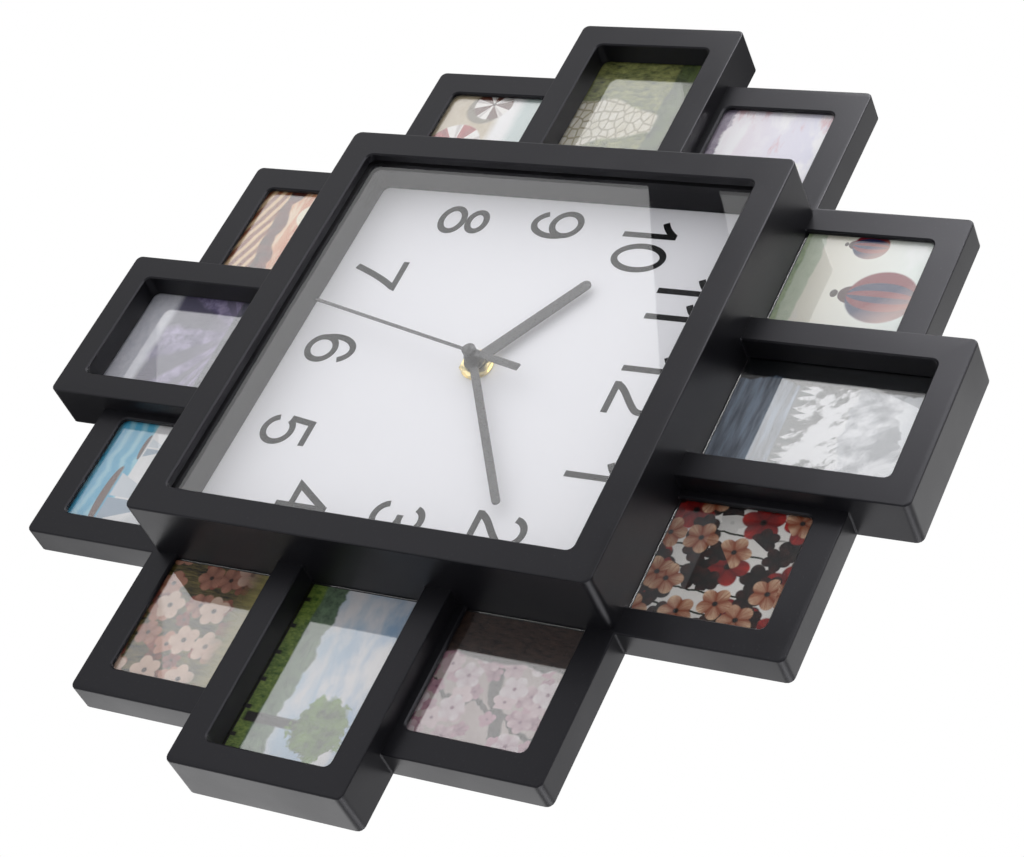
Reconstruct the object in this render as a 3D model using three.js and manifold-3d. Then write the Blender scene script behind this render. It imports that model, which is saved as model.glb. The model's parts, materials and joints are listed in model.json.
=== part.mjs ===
// Square wall clock with twelve photo frames round a deep clock box.
//
// The clock is built in its face frame: x to three o'clock, y to twelve o'clock, z off the wall, with the
// middle of the dial at x = y = 0 and the wall at z = 0. The outer group turns that upright, with the face
// towards -Y and twelve o'clock towards +Z, and puts the origin where the wall hook bears. Millimetres.

import * as THREE from 'three';
import { mergeVertices } from 'three/addons/utils/BufferGeometryUtils.js';
import Module from 'manifold-3d';

// General fits
const GAP = 0.3;                    // clearance between pieces that touch
const PAST = 1;                     // how far a cut runs past the face it opens
const WELD = 1e-4;                  // points closer than this are one point
const TURN = Math.PI * 2;
const QUARTER = Math.PI / 2;
const CORNER_STEPS = 2;             // a round corner has twice as many facets
const EDGE_STEPS = 2;               // facets of a rounded front edge
const HAND_STEPS = 4;
const CURVE_STEPS = 6;
const FINE = 24;                    // sides of round solids: plain to see, ordinary and small
const PLAIN = 16;
const SMALL = 10;

// Front moulding
const CLOCK_WIDTH = 212.6;          // square clock box, side to side
const CLOCK_DEPTH = 41.6;           // wall to the front of the bezel
const CLOCK_CORNER = 3.4;
const TALL_WIDTH = 80;              // tall frame in the middle of each side
const TALL_REACH = 93.7;            // clock box to the tall frame's outer side
const TALL_DEPTH = 21.5;
const LOW_REACH = 68.1;             // clock box to a low frame's outer side
const LOW_STEP = 0.9;               // low frames stand this far past the clock box's corner
const LOW_DEPTH = 12.9;
const FRAME_CORNER = 2.8;
const EDGE = 0.6;                   // rounded front edges
const SIDE_WALL = 2.2;
const FACE_WALL = 2;
const BEZEL = 13;                   // width of the clock's bezel
const WINDOW_CORNER = 3;
const WINDOW_EDGE = 0.6;            // chamfer round each window
const LIP_DEPTH = 3.9;              // bezel front to the seat of the glass
const LIP_WALL = 2.2;
const TALL_BORDER = 11.8;           // tall frame's front face beside and past its window
const LOW_BORDER = 12.3;
const LOW_LEDGE = 3.3;              // low frame's face between its window and the tall frame
const SLEEVE_WALL = 2.2;            // walls of a tall frame's window well
const BOSS_RADIUS = 3.6;            // screw bosses in the clock box's corners
const BOSS_BORE = 1.2;

// Glass, dial and back of the clock box
const GLASS_THICK = 2;
const WELL_DEPTH = 14.8;            // height of the spacer between the glass and the dial
const SPACER_INSET = 0.5;           // well walls stand this far inside the window
const SPACER_WALL = 2;
const DIAL_THICK = 2;
const STACK_MARGIN = 2.8;           // glass, spacer and dial end this far from the box's inner walls
const STACK_CORNER = 9;             // their corners are cut off to clear the bosses
const PANEL_THICK = 2.2;
const PANEL_RIB = 2.4;              // rib of the back panel that presses the dial
const HOOK_HEIGHT = 84;             // where the hook bears, above the middle of the dial
const KEYHOLE_DROP = 12;            // down from there to the middle of the keyhole's mouth
const KEYHOLE_MOUTH = 5;            // radius
const KEYHOLE_SLOT = 2.5;           // half width
const PANEL_SCREW = 1.7;            // radius of the holes for the panel's screws
const SCREW_SINK = 3.3;             // radius of the sinks for their heads
const SINK_DEPTH = 1.3;

// Photo frames, from the front to the back
const LENS_THICK = 0.8;
const PRINT_THICK = 0.3;
const PRINT_MARGIN = 0.4;
const COVER_THICK = 1.6;
const COVER_RIM = 2.6;              // height of the stiffening rim, and its wall
const COVER_RIM_WALL = 1.6;
const GRIP_LENGTH = 22;             // finger bar on the back of a cover
const GRIP_WIDTH = 3;

// Movement
const CASE_ABOVE = 26;              // axis to the top of the case
const TRAIN_BELOW = 11.8;           // axis to the lower wall of the gear compartment
const CASE_DEPTH = 16.4;
const CASE_CORNER = 2;
const CASE_WALL = 1.4;
const BAY_WALL = 1;                 // between the battery bay and the dial
const COVER_PLATE = 1.4;
const POST_RADIUS = 1.6;
const POST_INSET = 3.4;
const BUSH_RADIUS = 4.2;
const BUSH_RISE = 2.9;              // bush above the front of the dial
const NUT_ACROSS = 12.5;            // across the flats
const NUT_THICK = 1.9;
const NUT_FLANGE = 6.9;             // radius
const NUT_FLANGE_THICK = 0.5;
const CELL_RADIUS = 7.1;            // AA cell
const CELL_LENGTH = 49.2;
const CELL_NUB_RADIUS = 2.6;
const CELL_NUB_LENGTH = 1.2;
const CELL_EDGE = 0.6;
const CONTACT_THICK = 0.4;
const CONTACT_WIDTH = 8;
const CONTACT_HEIGHT = 10;
const CONTACT_BOW = 0.6;
const KNOB_RADIUS = 4.3;
const KNOB_SHAFT = 1;               // radius
const KNOB_DEPTH = 3;
const KNOB_FLUTES = 12;
const KNOB_FLUTE_DEPTH = 0.35;
const FLUTE_STEPS = 4;              // points along each flute
const KNOB_RECESS = 0.6;            // knob's well in the case, past the knob

// Gear train: teeth of each wheel and pinion, and the distance between each pair of axes
const SECOND_WHEEL = 60;
const SECOND_PINION = 8;
const THIRD_WHEEL = 60;
const THIRD_PINION = 8;
const MINUTE_WHEEL = 64;
const MINUTE_PINION = 10;
const MOTION_WHEEL = 30;
const MOTION_PINION = 8;
const HOUR_WHEEL = 32;
const STEP_WHEEL = 40;
const STEP_PINION = 10;
const ROTOR_PINION = 8;
const KNOB_PINION = 10;
const THIRD_DISTANCE = 10.2;
const MOTION_DISTANCE = 8;
const STEP_DISTANCE = 10.5;
const ROTOR_DISTANCE = 6;
const THIRD_DIRECTION = 150 / 360 * TURN;
const MOTION_DIRECTION = 0;
const STEP_DIRECTION = 90 / 360 * TURN;
const ROTOR_DIRECTION = 30 / 360 * TURN;
const WHEEL_THICK = 0.8;
const PINION_EXTRA = 0.3;           // pinions run past the wheel they drive, at each side
const LAYER = 1.7;                  // from one wheel to the next
const ADDENDUM = 0.85;              // tooth above and below the pitch circle, in modules
const DEDENDUM = 1.15;
const TIP_SHARE = 0.12;             // half widths of a tooth's tip and root, in tooth pitches
const ROOT_SHARE = 0.3;
const ARBOR_RADIUS = 0.5;
const SECOND_ARBOR = 0.6;
const MINUTE_PIPE = 1.75;           // outer radii of the pipes
const HOUR_PIPE = 2.7;
const MOTION_STUD = 0.45;
const MAGNET_RADIUS = 3;
const MAGNET_THICK = 2.4;
const STATOR_THICK = 1;
const COIL_RADIUS = 3.5;
const COIL_LENGTH = 12;
const COIL_MARGIN = 1.1;            // stator past the coil's end
const BOARD_THICK = 1;
const CRYSTAL_RADIUS = 1;
const CRYSTAL_LENGTH = 6;

// Hands, with the time that they show
const SHOWN_HOUR = 10;
const SHOWN_MINUTE = 9;
const SHOWN_SECOND = 32;
const HAND_THICK = 0.8;
const HAND_SPACING = 3;             // from one hand to the next
const HOUR_LENGTH = 57;
const HOUR_WIDTH = 5.8;
const HOUR_TIP_WIDTH = 4.9;
const HOUR_BOSS = 4.6;
const MINUTE_LENGTH = 82;
const MINUTE_WIDTH = 3.5;
const MINUTE_BOSS = 3.6;
const SECOND_LENGTH = 87;
const SECOND_WIDTH = 1.2;
const SECOND_TAIL = 26;
const SECOND_TAIL_WIDTH = 3.1;
const COLLAR_WALL = 0.9;            // collar on a hand, round its pipe
const COLLAR_RISE = 1.5;
const CAP_RADIUS = 2.9;
const CAP_HEIGHT = 2.8;
const CAP_CROWN_RADIUS = 2.2;       // where the cap's rounded shoulder meets its crown
const CAP_CROWN = 0.25;
const CAP_SHOULDER = 0.8;

// Levels above the wall
const glassFront = CLOCK_DEPTH - LIP_DEPTH - GAP;
const glassBack = glassFront - GLASS_THICK;
const spacerFront = glassBack - GAP;
const spacerBack = spacerFront - WELL_DEPTH;
const dialFront = spacerBack - GAP;
const dialBack = dialFront - DIAL_THICK;
const caseFront = dialBack - GAP;
const caseBack = caseFront - CASE_DEPTH;
const caseFloor = caseBack + CASE_WALL;
const plateBack = caseFront - COVER_PLATE;
const bayFront = caseFront - BAY_WALL;
const cellAxis = bayFront - GAP - CELL_RADIUS;
const lensSeat = LOW_DEPTH - FACE_WALL;
const bushTop = dialFront + BUSH_RISE;
const hourLevel = bushTop + GAP;
const minuteLevel = hourLevel + HAND_SPACING;
const secondLevel = minuteLevel + HAND_SPACING;

// Plan sizes
const clockHalf = CLOCK_WIDTH / 2;
const boxInside = clockHalf - SIDE_WALL;
const windowHalf = clockHalf - BEZEL;
const wellHalf = windowHalf - SPACER_INSET;
const stackHalf = boxInside - STACK_MARGIN;
const tallHalf = TALL_WIDTH / 2;
const tallOuter = clockHalf + TALL_REACH;
const lowOuter = clockHalf + LOW_REACH;
const lowSide = clockHalf + LOW_STEP;
const bossPlace = boxInside - BOSS_RADIUS - GAP;
const trainHalf = (CELL_LENGTH + CELL_NUB_LENGTH) / 2 + CONTACT_THICK + CONTACT_BOW + 2 * GAP;
const trainHigh = CASE_ABOVE - CASE_WALL;
const trainLow = -TRAIN_BELOW;
const bayHigh = trainLow - CASE_WALL;
const bayLow = bayHigh - 2 * CELL_RADIUS - 4 * GAP;
const caseHalf = trainHalf + CASE_WALL;
const caseBelow = bayLow - CASE_WALL;

// Wheel layers, back to front
const secondLayer = caseFloor + LAYER;
const stepLayer = secondLayer + LAYER;
const thirdLayer = stepLayer + LAYER;
const minuteLayer = thirdLayer + LAYER;
const motionLayer = minuteLayer + LAYER;
const hourLayer = motionLayer + LAYER;
const arborLow = caseFloor + GAP;
const arborHigh = plateBack - GAP;

const wasm = await Module();
wasm.setup();

// Solids

function toSolid(geometry) {
  const bare = geometry.clone();
  bare.deleteAttribute('normal');
  bare.deleteAttribute('uv');
  const welded = mergeVertices(bare, WELD);
  return new wasm.Manifold(new wasm.Mesh({
    numProp: 3,
    vertProperties: new Float32Array(welded.attributes.position.array),
    triVerts: new Uint32Array(welded.index.array),
  }));
}

function toGeometry(solid) {
  const { vertProperties, triVerts } = solid.getMesh();
  const geometry = new THREE.BufferGeometry();
  geometry.setAttribute('position', new THREE.BufferAttribute(vertProperties, 3));
  geometry.setIndex(new THREE.BufferAttribute(triVerts, 1));
  geometry.computeVertexNormals();
  return geometry;
}

// Rectangle with a radius for each corner: low left, low right, high right, high left
function rectangle(left, low, right, high, radii = [0, 0, 0, 0]) {
  const [a, b, c, d] = radii;
  const shape = new THREE.Shape();
  shape.moveTo(left + a, low);
  shape.lineTo(right - b, low);
  if (b) shape.absarc(right - b, low + b, b, -QUARTER, 0);
  shape.lineTo(right, high - c);
  if (c) shape.absarc(right - c, high - c, c, 0, QUARTER);
  shape.lineTo(left + d, high);
  if (d) shape.absarc(left + d, high - d, d, QUARTER, 2 * QUARTER);
  shape.lineTo(left, low + a);
  if (a) shape.absarc(left + a, low + a, a, 2 * QUARTER, 3 * QUARTER);
  return shape;
}

function square(half, radius = 0) {
  return rectangle(-half, -half, half, half, [radius, radius, radius, radius]);
}

// Square with its corners cut off straight
function cutSquare(half, cut) {
  const shape = new THREE.Shape();
  for (let corner = 0; corner < 4; corner += 1) {
    const turn = new THREE.Vector2(0, 0);
    const start = new THREE.Vector2(half, cut - half).rotateAround(turn, corner * QUARTER);
    const end = new THREE.Vector2(half, half - cut).rotateAround(turn, corner * QUARTER);
    if (corner === 0) shape.moveTo(start.x, start.y);
    else shape.lineTo(start.x, start.y);
    shape.lineTo(end.x, end.y);
  }
  return shape;
}

function disc(x, y, radius) {
  const shape = new THREE.Shape();
  shape.absarc(x, y, radius, 0, TURN);
  return shape;
}

function extrude(shape, low, high, curveSegments = CORNER_STEPS) {
  const depth = high - low;
  const geometry = new THREE.ExtrudeGeometry(shape, { depth, bevelEnabled: false, curveSegments });
  return toSolid(geometry.translate(0, 0, low));
}

// Block from below the wall plane to its front, with the front edge rounded
function roundedBlock(shape, high, angle = 0) {
  const depth = high + PAST;
  const geometry = new THREE.ExtrudeGeometry(shape, {
    depth,
    curveSegments: CORNER_STEPS,
    bevelThickness: EDGE,
    bevelSize: EDGE,
    bevelOffset: -EDGE,
    bevelSegments: EDGE_STEPS,
  });
  return toSolid(geometry.translate(0, 0, high - EDGE - depth).rotateZ(angle));
}

// Window cut from a low level out through the front, with a chamfered edge round the rim
function windowCut(shape, rim, low, front) {
  const flare = new THREE.ExtrudeGeometry(rim, {
    depth: PAST,
    curveSegments: CORNER_STEPS,
    bevelThickness: WINDOW_EDGE,
    bevelSize: WINDOW_EDGE,
    bevelSegments: 1,
  });
  return extrude(shape, low, front + PAST).add(toSolid(flare.translate(0, 0, front)));
}

function lathe(profile, segments = FINE) {
  const points = profile.map(([radius, height]) => new THREE.Vector2(radius, height));
  return new THREE.LatheGeometry(points, segments).rotateX(QUARTER);
}

function cylinder(x, y, radius, low, high, segments = PLAIN) {
  return toSolid(lathe([[0, low], [radius, low], [radius, high], [0, high]], segments).translate(x, y, 0));
}

function join(solids) {
  return solids.reduce((whole, solid) => whole.add(solid));
}

function turned(solid, angle) {
  return toSolid(toGeometry(solid).rotateZ(angle));
}

// Materials

function finish(color, roughness, metalness = 0, opacity = 1) {
  return new THREE.MeshStandardMaterial({ color, roughness, metalness, opacity, transparent: opacity < 1 });
}

const black = finish(0x2b2b2d, 0.45);
const blackInside = finish(0x1d1d1f, 0.6);
const white = finish(0xf2f2f0, 0.5);
const clear = finish(0xf4f8fa, 0.05, 0, 0.25);
const handBlack = finish(0x141416, 0.4, 0.3);
const brass = finish(0xc9a94e, 0.3, 1);
const steel = finish(0xb8babd, 0.35, 1);
const nylon = finish(0xe6e3d8, 0.5);
const copper = finish(0xa8552d, 0.4, 0.8);
const boardGreen = finish(0x2f6a45, 0.5);
const print = finish(0xd8dcd6, 0.4);
const fibre = finish(0x333335, 0.7);
const cellJacket = finish(0x3a4a5c, 0.35, 0.4);

function piece(name, geometry, material) {
  const mesh = new THREE.Mesh(geometry, material);
  mesh.name = name;
  return mesh;
}

function solidPiece(name, solid, material) {
  return piece(name, toGeometry(solid), material);
}

// The three frames of one side, in the place of the top side

const tallFrame = {
  pocket: [SIDE_WALL - tallHalf, clockHalf, tallHalf - SIDE_WALL, tallOuter - SIDE_WALL],
  window: [TALL_BORDER - tallHalf, clockHalf, tallHalf - TALL_BORDER, tallOuter - TALL_BORDER],
  depth: TALL_DEPTH,
};

const lowFrameRight = {
  pocket: [tallHalf, clockHalf, lowSide - SIDE_WALL, lowOuter - SIDE_WALL],
  window: [tallHalf + LOW_LEDGE, clockHalf, lowSide - LOW_BORDER, lowOuter - LOW_BORDER],
  depth: LOW_DEPTH,
};

function mirrored([left, low, right, high]) {
  return [-right, low, -left, high];
}

const lowFrameLeft = {
  pocket: mirrored(lowFrameRight.pocket),
  window: mirrored(lowFrameRight.window),
  depth: LOW_DEPTH,
};

const sideFrames = [lowFrameLeft, tallFrame, lowFrameRight];
const sideNames = [
  ['top_left', 'top_middle', 'top_right'],
  ['right_upper', 'right_middle', 'right_lower'],
  ['bottom_right', 'bottom_middle', 'bottom_left'],
  ['left_lower', 'left_middle', 'left_upper'],
];
const sideAngles = sideNames.map((names, side) => -side * QUARTER);

// Window of a frame: round corners outside, square against the clock box
function windowShape(frame, grown = 0, raised = 0) {
  const [left, low, right, high] = frame.window;
  const radius = WINDOW_CORNER + grown;
  return rectangle(left - grown, low + raised, right + grown, high + grown, [0, 0, radius, radius]);
}

// Hollow behind one frame: its pocket for the lens, print and cover, less the window's own walls
function frameHollow(frame) {
  const [left, low, right, high] = frame.pocket;
  const pocket = extrude(rectangle(left, low, right, high), -PAST, frame.depth - FACE_WALL);
  const sleeve = extrude(windowShape(frame, SLEEVE_WALL), lensSeat, frame.depth);
  const rim = windowShape(frame, 0, WINDOW_EDGE);
  return pocket.subtract(sleeve).add(windowCut(windowShape(frame), rim, lensSeat - PAST, frame.depth));
}

function frontFrame() {
  const inner = clockHalf - SIDE_WALL / 2;
  const round = FRAME_CORNER;
  const tallShape = rectangle(-tallHalf, inner, tallHalf, tallOuter, [0, 0, round, round]);
  const lowShape = rectangle(-lowSide, inner, lowSide, lowOuter, [0, 0, round, round]);
  const blocks = [roundedBlock(square(clockHalf, CLOCK_CORNER), CLOCK_DEPTH)];
  for (const angle of sideAngles) {
    blocks.push(roundedBlock(lowShape, LOW_DEPTH, angle), roundedBlock(tallShape, TALL_DEPTH, angle));
  }
  const behindWall = extrude(square(tallOuter + PAST), -CLOCK_DEPTH, 0);
  const boxHollow = extrude(square(boxInside), -PAST, CLOCK_DEPTH - FACE_WALL);
  const sideHollow = join(sideFrames.map(frameHollow));
  const hollows = [behindWall, boxHollow, ...sideAngles.map((angle) => turned(sideHollow, angle))];
  const moulding = hollows.reduce((whole, hollow) => whole.subtract(hollow), join(blocks));

  // Lip round the clock's window, and the bosses for the back panel's screws
  const lipSeat = CLOCK_DEPTH - LIP_DEPTH;
  const lipShape = square(windowHalf + LIP_WALL, WINDOW_CORNER + LIP_WALL);
  const lip = extrude(lipShape, lipSeat, CLOCK_DEPTH - FACE_WALL / 2);
  const opening = square(windowHalf, WINDOW_CORNER);
  const window = windowCut(opening, opening, dialFront, CLOCK_DEPTH);
  const bosses = cornerPlaces().map(([x, y]) => screwBoss(x, y));
  return moulding.add(lip).subtract(window).add(join(bosses));
}

function cornerPlaces() {
  return [[1, 1], [-1, 1], [-1, -1], [1, -1]].map(([x, y]) => [x * bossPlace, y * bossPlace]);
}

// Boss from the bezel's back to the back panel, webbed into the box's corner, with its blind screw hole
function screwBoss(x, y) {
  const low = PANEL_THICK + GAP;
  const high = CLOCK_DEPTH - FACE_WALL / 2;
  const corner = Math.sign(x) * (boxInside + SIDE_WALL / 2);
  const cornerY = Math.sign(y) * (boxInside + SIDE_WALL / 2);
  const web = rectangle(Math.min(x, corner), Math.min(y, cornerY), Math.max(x, corner), Math.max(y, cornerY));
  const boss = cylinder(x, y, BOSS_RADIUS, low, high, SMALL).add(extrude(web, low, high));
  return boss.subtract(cylinder(x, y, BOSS_BORE, low - PAST, dialBack, SMALL));
}

// Clock box: glass, spacer, dial and back panel

function clockGlass() {
  return extrude(cutSquare(stackHalf, STACK_CORNER), glassBack, glassFront);
}

// Channel section: the well's wall with a flange under the glass and one on the dial
function spacerFrame() {
  const flanges = cutSquare(stackHalf, STACK_CORNER);
  const back = extrude(flanges, spacerBack, spacerBack + SPACER_WALL);
  const front = extrude(flanges, spacerFront - SPACER_WALL, spacerFront);
  const wall = extrude(square(wellHalf + SPACER_WALL), spacerBack, spacerFront);
  const well = extrude(square(wellHalf, WINDOW_CORNER), spacerBack - PAST, spacerFront + PAST);
  return join([back, front, wall]).subtract(well);
}

function dialPlate() {
  const plate = extrude(cutSquare(stackHalf, STACK_CORNER), dialBack, dialFront);
  return plate.subtract(cylinder(0, 0, BUSH_RADIUS + GAP, dialBack - PAST, dialFront + PAST, FINE));
}

function keyhole() {
  const shape = new THREE.Shape();
  const mouth = HOOK_HEIGHT - KEYHOLE_DROP;
  const slotTop = HOOK_HEIGHT + GAP;
  const meet = Math.asin(KEYHOLE_SLOT / KEYHOLE_MOUTH);
  shape.absarc(0, mouth, KEYHOLE_MOUTH, QUARTER + meet, QUARTER - meet + TURN);
  shape.lineTo(KEYHOLE_SLOT, slotTop - KEYHOLE_SLOT);
  shape.absarc(0, slotTop - KEYHOLE_SLOT, KEYHOLE_SLOT, 0, 2 * QUARTER);
  return shape;
}

// Hole for a screw of the back panel, with a sink for its head
function screwSeat(x, y) {
  const hole = cylinder(x, y, PANEL_SCREW, -PAST, PANEL_THICK + PAST, SMALL);
  return hole.add(cylinder(x, y, SCREW_SINK, -PAST, SINK_DEPTH));
}

// Plate with a rib that presses the dial, spacer and glass together against the lip
function backPanel() {
  const plate = extrude(square(boxInside - GAP, CLOCK_CORNER - SIDE_WALL), 0, PANEL_THICK);
  const ribOuter = cutSquare(stackHalf, STACK_CORNER);
  const ribInner = cutSquare(stackHalf - PANEL_RIB, STACK_CORNER);
  const rib = extrude(ribOuter, 0, dialBack - GAP).subtract(extrude(ribInner, PANEL_THICK, dialBack));
  const opening = rectangle(-caseHalf - GAP, caseBelow - GAP, caseHalf + GAP, CASE_ABOVE + GAP);
  const cuts = [
    extrude(opening, -PAST, dialBack),
    extrude(keyhole(), -PAST, dialBack, CURVE_STEPS),
    ...cornerPlaces().map(([x, y]) => screwSeat(x, y)),
  ];
  return cuts.reduce((whole, cut) => whole.subtract(cut), plate.add(rib));
}

// Photo frames

function plateIn([left, low, right, high], margin, back, front) {
  return extrude(rectangle(left + margin, low + margin, right - margin, high - margin), back, front);
}

// Cover with a stiffening rim and a finger bar on its back
function photoCover(pocket, front) {
  const back = front - COVER_THICK;
  const rimBack = back - COVER_RIM;
  const [left, low, right, high] = pocket;
  const middleX = (left + right) / 2;
  const middleY = (low + high) / 2;
  const tray = plateIn(pocket, GAP, rimBack, front);
  const hollow = plateIn(pocket, GAP + COVER_RIM_WALL, rimBack - PAST, back);
  const grip = rectangle(
    middleX - GRIP_LENGTH / 2, middleY - GRIP_WIDTH / 2, middleX + GRIP_LENGTH / 2, middleY + GRIP_WIDTH / 2,
  );
  return tray.subtract(hollow).add(extrude(grip, rimBack, back + COVER_THICK / 2));
}

function framePieces(frame, name) {
  const lensFront = lensSeat - GAP;
  const printFront = lensFront - LENS_THICK - GAP;
  const coverFront = printFront - PRINT_THICK - GAP;
  const lens = plateIn(frame.pocket, GAP, lensFront - LENS_THICK, lensFront);
  const photo = plateIn(frame.pocket, GAP + PRINT_MARGIN, printFront - PRINT_THICK, printFront);
  return [
    solidPiece(`lens_${name}`, lens, clear),
    solidPiece(`photo_${name}`, photo, print),
    solidPiece(`cover_${name}`, photoCover(frame.pocket, coverFront), fibre),
  ];
}

function photoSide(side) {
  const group = new THREE.Group();
  group.rotation.z = sideAngles[side];
  sideFrames.forEach((frame, index) => group.add(...framePieces(frame, sideNames[side][index])));
  return group;
}

// Hands, drawn to twelve o'clock

// Flat bar with a boss and a raised collar round its bore
function barHand(length, width, tipWidth, bossRadius, bore, low) {
  const tip = tipWidth / 2;
  const shape = new THREE.Shape();
  shape.moveTo(-width / 2, 0);
  shape.lineTo(width / 2, 0);
  shape.lineTo(tip, length - tip);
  shape.absarc(0, length - tip, tip, 0, 2 * QUARTER);
  const bar = extrude(shape, low, low + HAND_THICK, HAND_STEPS);
  const top = low + HAND_THICK + COLLAR_RISE;
  const boss = cylinder(0, 0, bossRadius, low, low + HAND_THICK, FINE);
  const collar = cylinder(0, 0, bore + COLLAR_WALL, low, top, FINE);
  return join([bar, boss, collar]).subtract(cylinder(0, 0, bore, low - PAST, top + PAST, FINE));
}

function secondHand() {
  const needle = rectangle(-SECOND_WIDTH / 2, 0, SECOND_WIDTH / 2, SECOND_LENGTH);
  const tail = rectangle(-SECOND_TAIL_WIDTH / 2, -SECOND_TAIL, SECOND_TAIL_WIDTH / 2, 0);
  const top = secondLevel + CAP_HEIGHT;
  const cap = toSolid(lathe([
    [0, secondLevel],
    [CAP_RADIUS, secondLevel],
    [CAP_RADIUS, top - CAP_SHOULDER],
    [CAP_CROWN_RADIUS, top - CAP_CROWN],
    [0, top],
  ]));
  const low = secondLevel + GAP;
  const bars = [needle, tail].map((shape) => extrude(shape, low, low + HAND_THICK));
  const bore = cylinder(0, 0, SECOND_ARBOR + GAP, secondLevel - PAST, secondLevel + CAP_HEIGHT / 2);
  return join([cap, ...bars]).subtract(bore);
}

// Gear train

function gearShape(teeth, module, phase) {
  const pitch = teeth * module / 2;
  const tip = pitch + ADDENDUM * module;
  const root = pitch - DEDENDUM * module;
  const profile = [[root, -ROOT_SHARE], [tip, -TIP_SHARE], [tip, TIP_SHARE], [root, ROOT_SHARE]];
  const points = [];
  for (let tooth = 0; tooth < teeth; tooth += 1) {
    for (const [radius, share] of profile) {
      const angle = phase + (tooth + share) * TURN / teeth;
      points.push(new THREE.Vector2(radius * Math.cos(angle), radius * Math.sin(angle)));
    }
  }
  return new THREE.Shape(points);
}

function gear(teeth, module, phase, low, high) {
  return extrude(gearShape(teeth, module, phase), low, high);
}

// A wheel in its layer, and a pinion long enough for the wheel in its layer
function wheel(teeth, module, phase, layer) {
  return gear(teeth, module, phase, layer, layer + WHEEL_THICK);
}

function pinion(teeth, module, phase, layer) {
  return gear(teeth, module, phase, layer - PINION_EXTRA, layer + WHEEL_THICK + PINION_EXTRA);
}

// Phase of the second gear of a pair, so that its gap takes the first one's tooth
function meshPhase(direction, firstTeeth, firstPhase, secondTeeth) {
  const ahead = (firstPhase - direction) * firstTeeth / secondTeeth;
  return direction + TURN / 2 + TURN / 2 / secondTeeth - ahead;
}

function moduleOf(distance, firstTeeth, secondTeeth) {
  return 2 * distance / (firstTeeth + secondTeeth);
}

function away(distance, direction) {
  return new THREE.Vector2(distance * Math.cos(direction), distance * Math.sin(direction));
}

const thirdPlace = away(THIRD_DISTANCE, THIRD_DIRECTION);
const motionPlace = away(MOTION_DISTANCE, MOTION_DIRECTION);
const stepPlace = away(STEP_DISTANCE, STEP_DIRECTION);
const rotorPlace = away(ROTOR_DISTANCE, ROTOR_DIRECTION).add(stepPlace);
const secondToThird = moduleOf(THIRD_DISTANCE, SECOND_PINION, THIRD_WHEEL);
const thirdToMinute = moduleOf(THIRD_DISTANCE, THIRD_PINION, MINUTE_WHEEL);
const minuteToMotion = moduleOf(MOTION_DISTANCE, MINUTE_PINION, MOTION_WHEEL);
const motionToHour = moduleOf(MOTION_DISTANCE, MOTION_PINION, HOUR_WHEEL);
const stepToSecond = moduleOf(STEP_DISTANCE, STEP_PINION, SECOND_WHEEL);
const rotorToStep = moduleOf(ROTOR_DISTANCE, ROTOR_PINION, STEP_WHEEL);
const knobDistance = minuteToMotion * (MOTION_WHEEL + KNOB_PINION) / 2;
const knobPlace = away(knobDistance, MOTION_DIRECTION).add(motionPlace);
const motionPhase = meshPhase(MOTION_DIRECTION, MINUTE_PINION, 0, MOTION_WHEEL);
const knobWell = KNOB_RADIUS + KNOB_RECESS;
const knobBack = caseBack + GAP;
const knobSeat = knobBack + KNOB_DEPTH + GAP;

function secondWheel() {
  return join([
    cylinder(0, 0, SECOND_ARBOR, arborLow, secondLevel + CAP_HEIGHT / 2 - GAP),
    wheel(SECOND_WHEEL, stepToSecond, 0, secondLayer),
    pinion(SECOND_PINION, secondToThird, 0, thirdLayer),
  ]);
}

function thirdWheel() {
  const phase = meshPhase(THIRD_DIRECTION, SECOND_PINION, 0, THIRD_WHEEL);
  return join([
    cylinder(0, 0, ARBOR_RADIUS, arborLow, arborHigh, SMALL),
    wheel(THIRD_WHEEL, secondToThird, phase, thirdLayer),
    pinion(THIRD_PINION, thirdToMinute, 0, minuteLayer),
  ]);
}

// Centre wheel with its pinion and the pipe that carries the minute hand
function minuteWheel() {
  const phase = meshPhase(THIRD_DIRECTION + TURN / 2, THIRD_PINION, 0, MINUTE_WHEEL);
  const tube = cylinder(0, 0, MINUTE_PIPE, minuteLayer, minuteLevel + HAND_THICK + GAP);
  const motionPinion = pinion(MINUTE_PINION, minuteToMotion, 0, motionLayer);
  const neckTop = motionLayer + WHEEL_THICK + PINION_EXTRA;
  const neck = cylinder(0, 0, MINUTE_PIPE + PAST, motionLayer - PINION_EXTRA, neckTop);
  const whole = join([
    wheel(MINUTE_WHEEL, thirdToMinute, phase, minuteLayer),
    tube.subtract(neck),
    motionPinion,
  ]);
  return whole.subtract(cylinder(0, 0, SECOND_ARBOR + GAP, minuteLayer - PAST, minuteLevel + HAND_SPACING));
}

// Wheel and pinion that turn on a stud of the movement's cover
function motionWheel() {
  const pinionLow = motionLayer + WHEEL_THICK;
  const whole = join([
    wheel(MOTION_WHEEL, minuteToMotion, motionPhase, motionLayer),
    gear(MOTION_PINION, motionToHour, 0, pinionLow, hourLayer + WHEEL_THICK + PINION_EXTRA),
  ]);
  return whole.subtract(cylinder(0, 0, MOTION_STUD + GAP, motionLayer - PAST, arborHigh, SMALL));
}

// Hour wheel with the pipe that carries the hour hand
function hourWheel() {
  const phase = meshPhase(MOTION_DIRECTION + TURN / 2, MOTION_PINION, 0, HOUR_WHEEL);
  const whole = join([
    wheel(HOUR_WHEEL, motionToHour, phase, hourLayer),
    cylinder(0, 0, HOUR_PIPE, hourLayer, hourLevel + HAND_THICK + GAP, FINE),
  ]);
  return whole.subtract(cylinder(0, 0, MINUTE_PIPE + GAP, hourLayer - PAST, minuteLevel));
}

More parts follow.
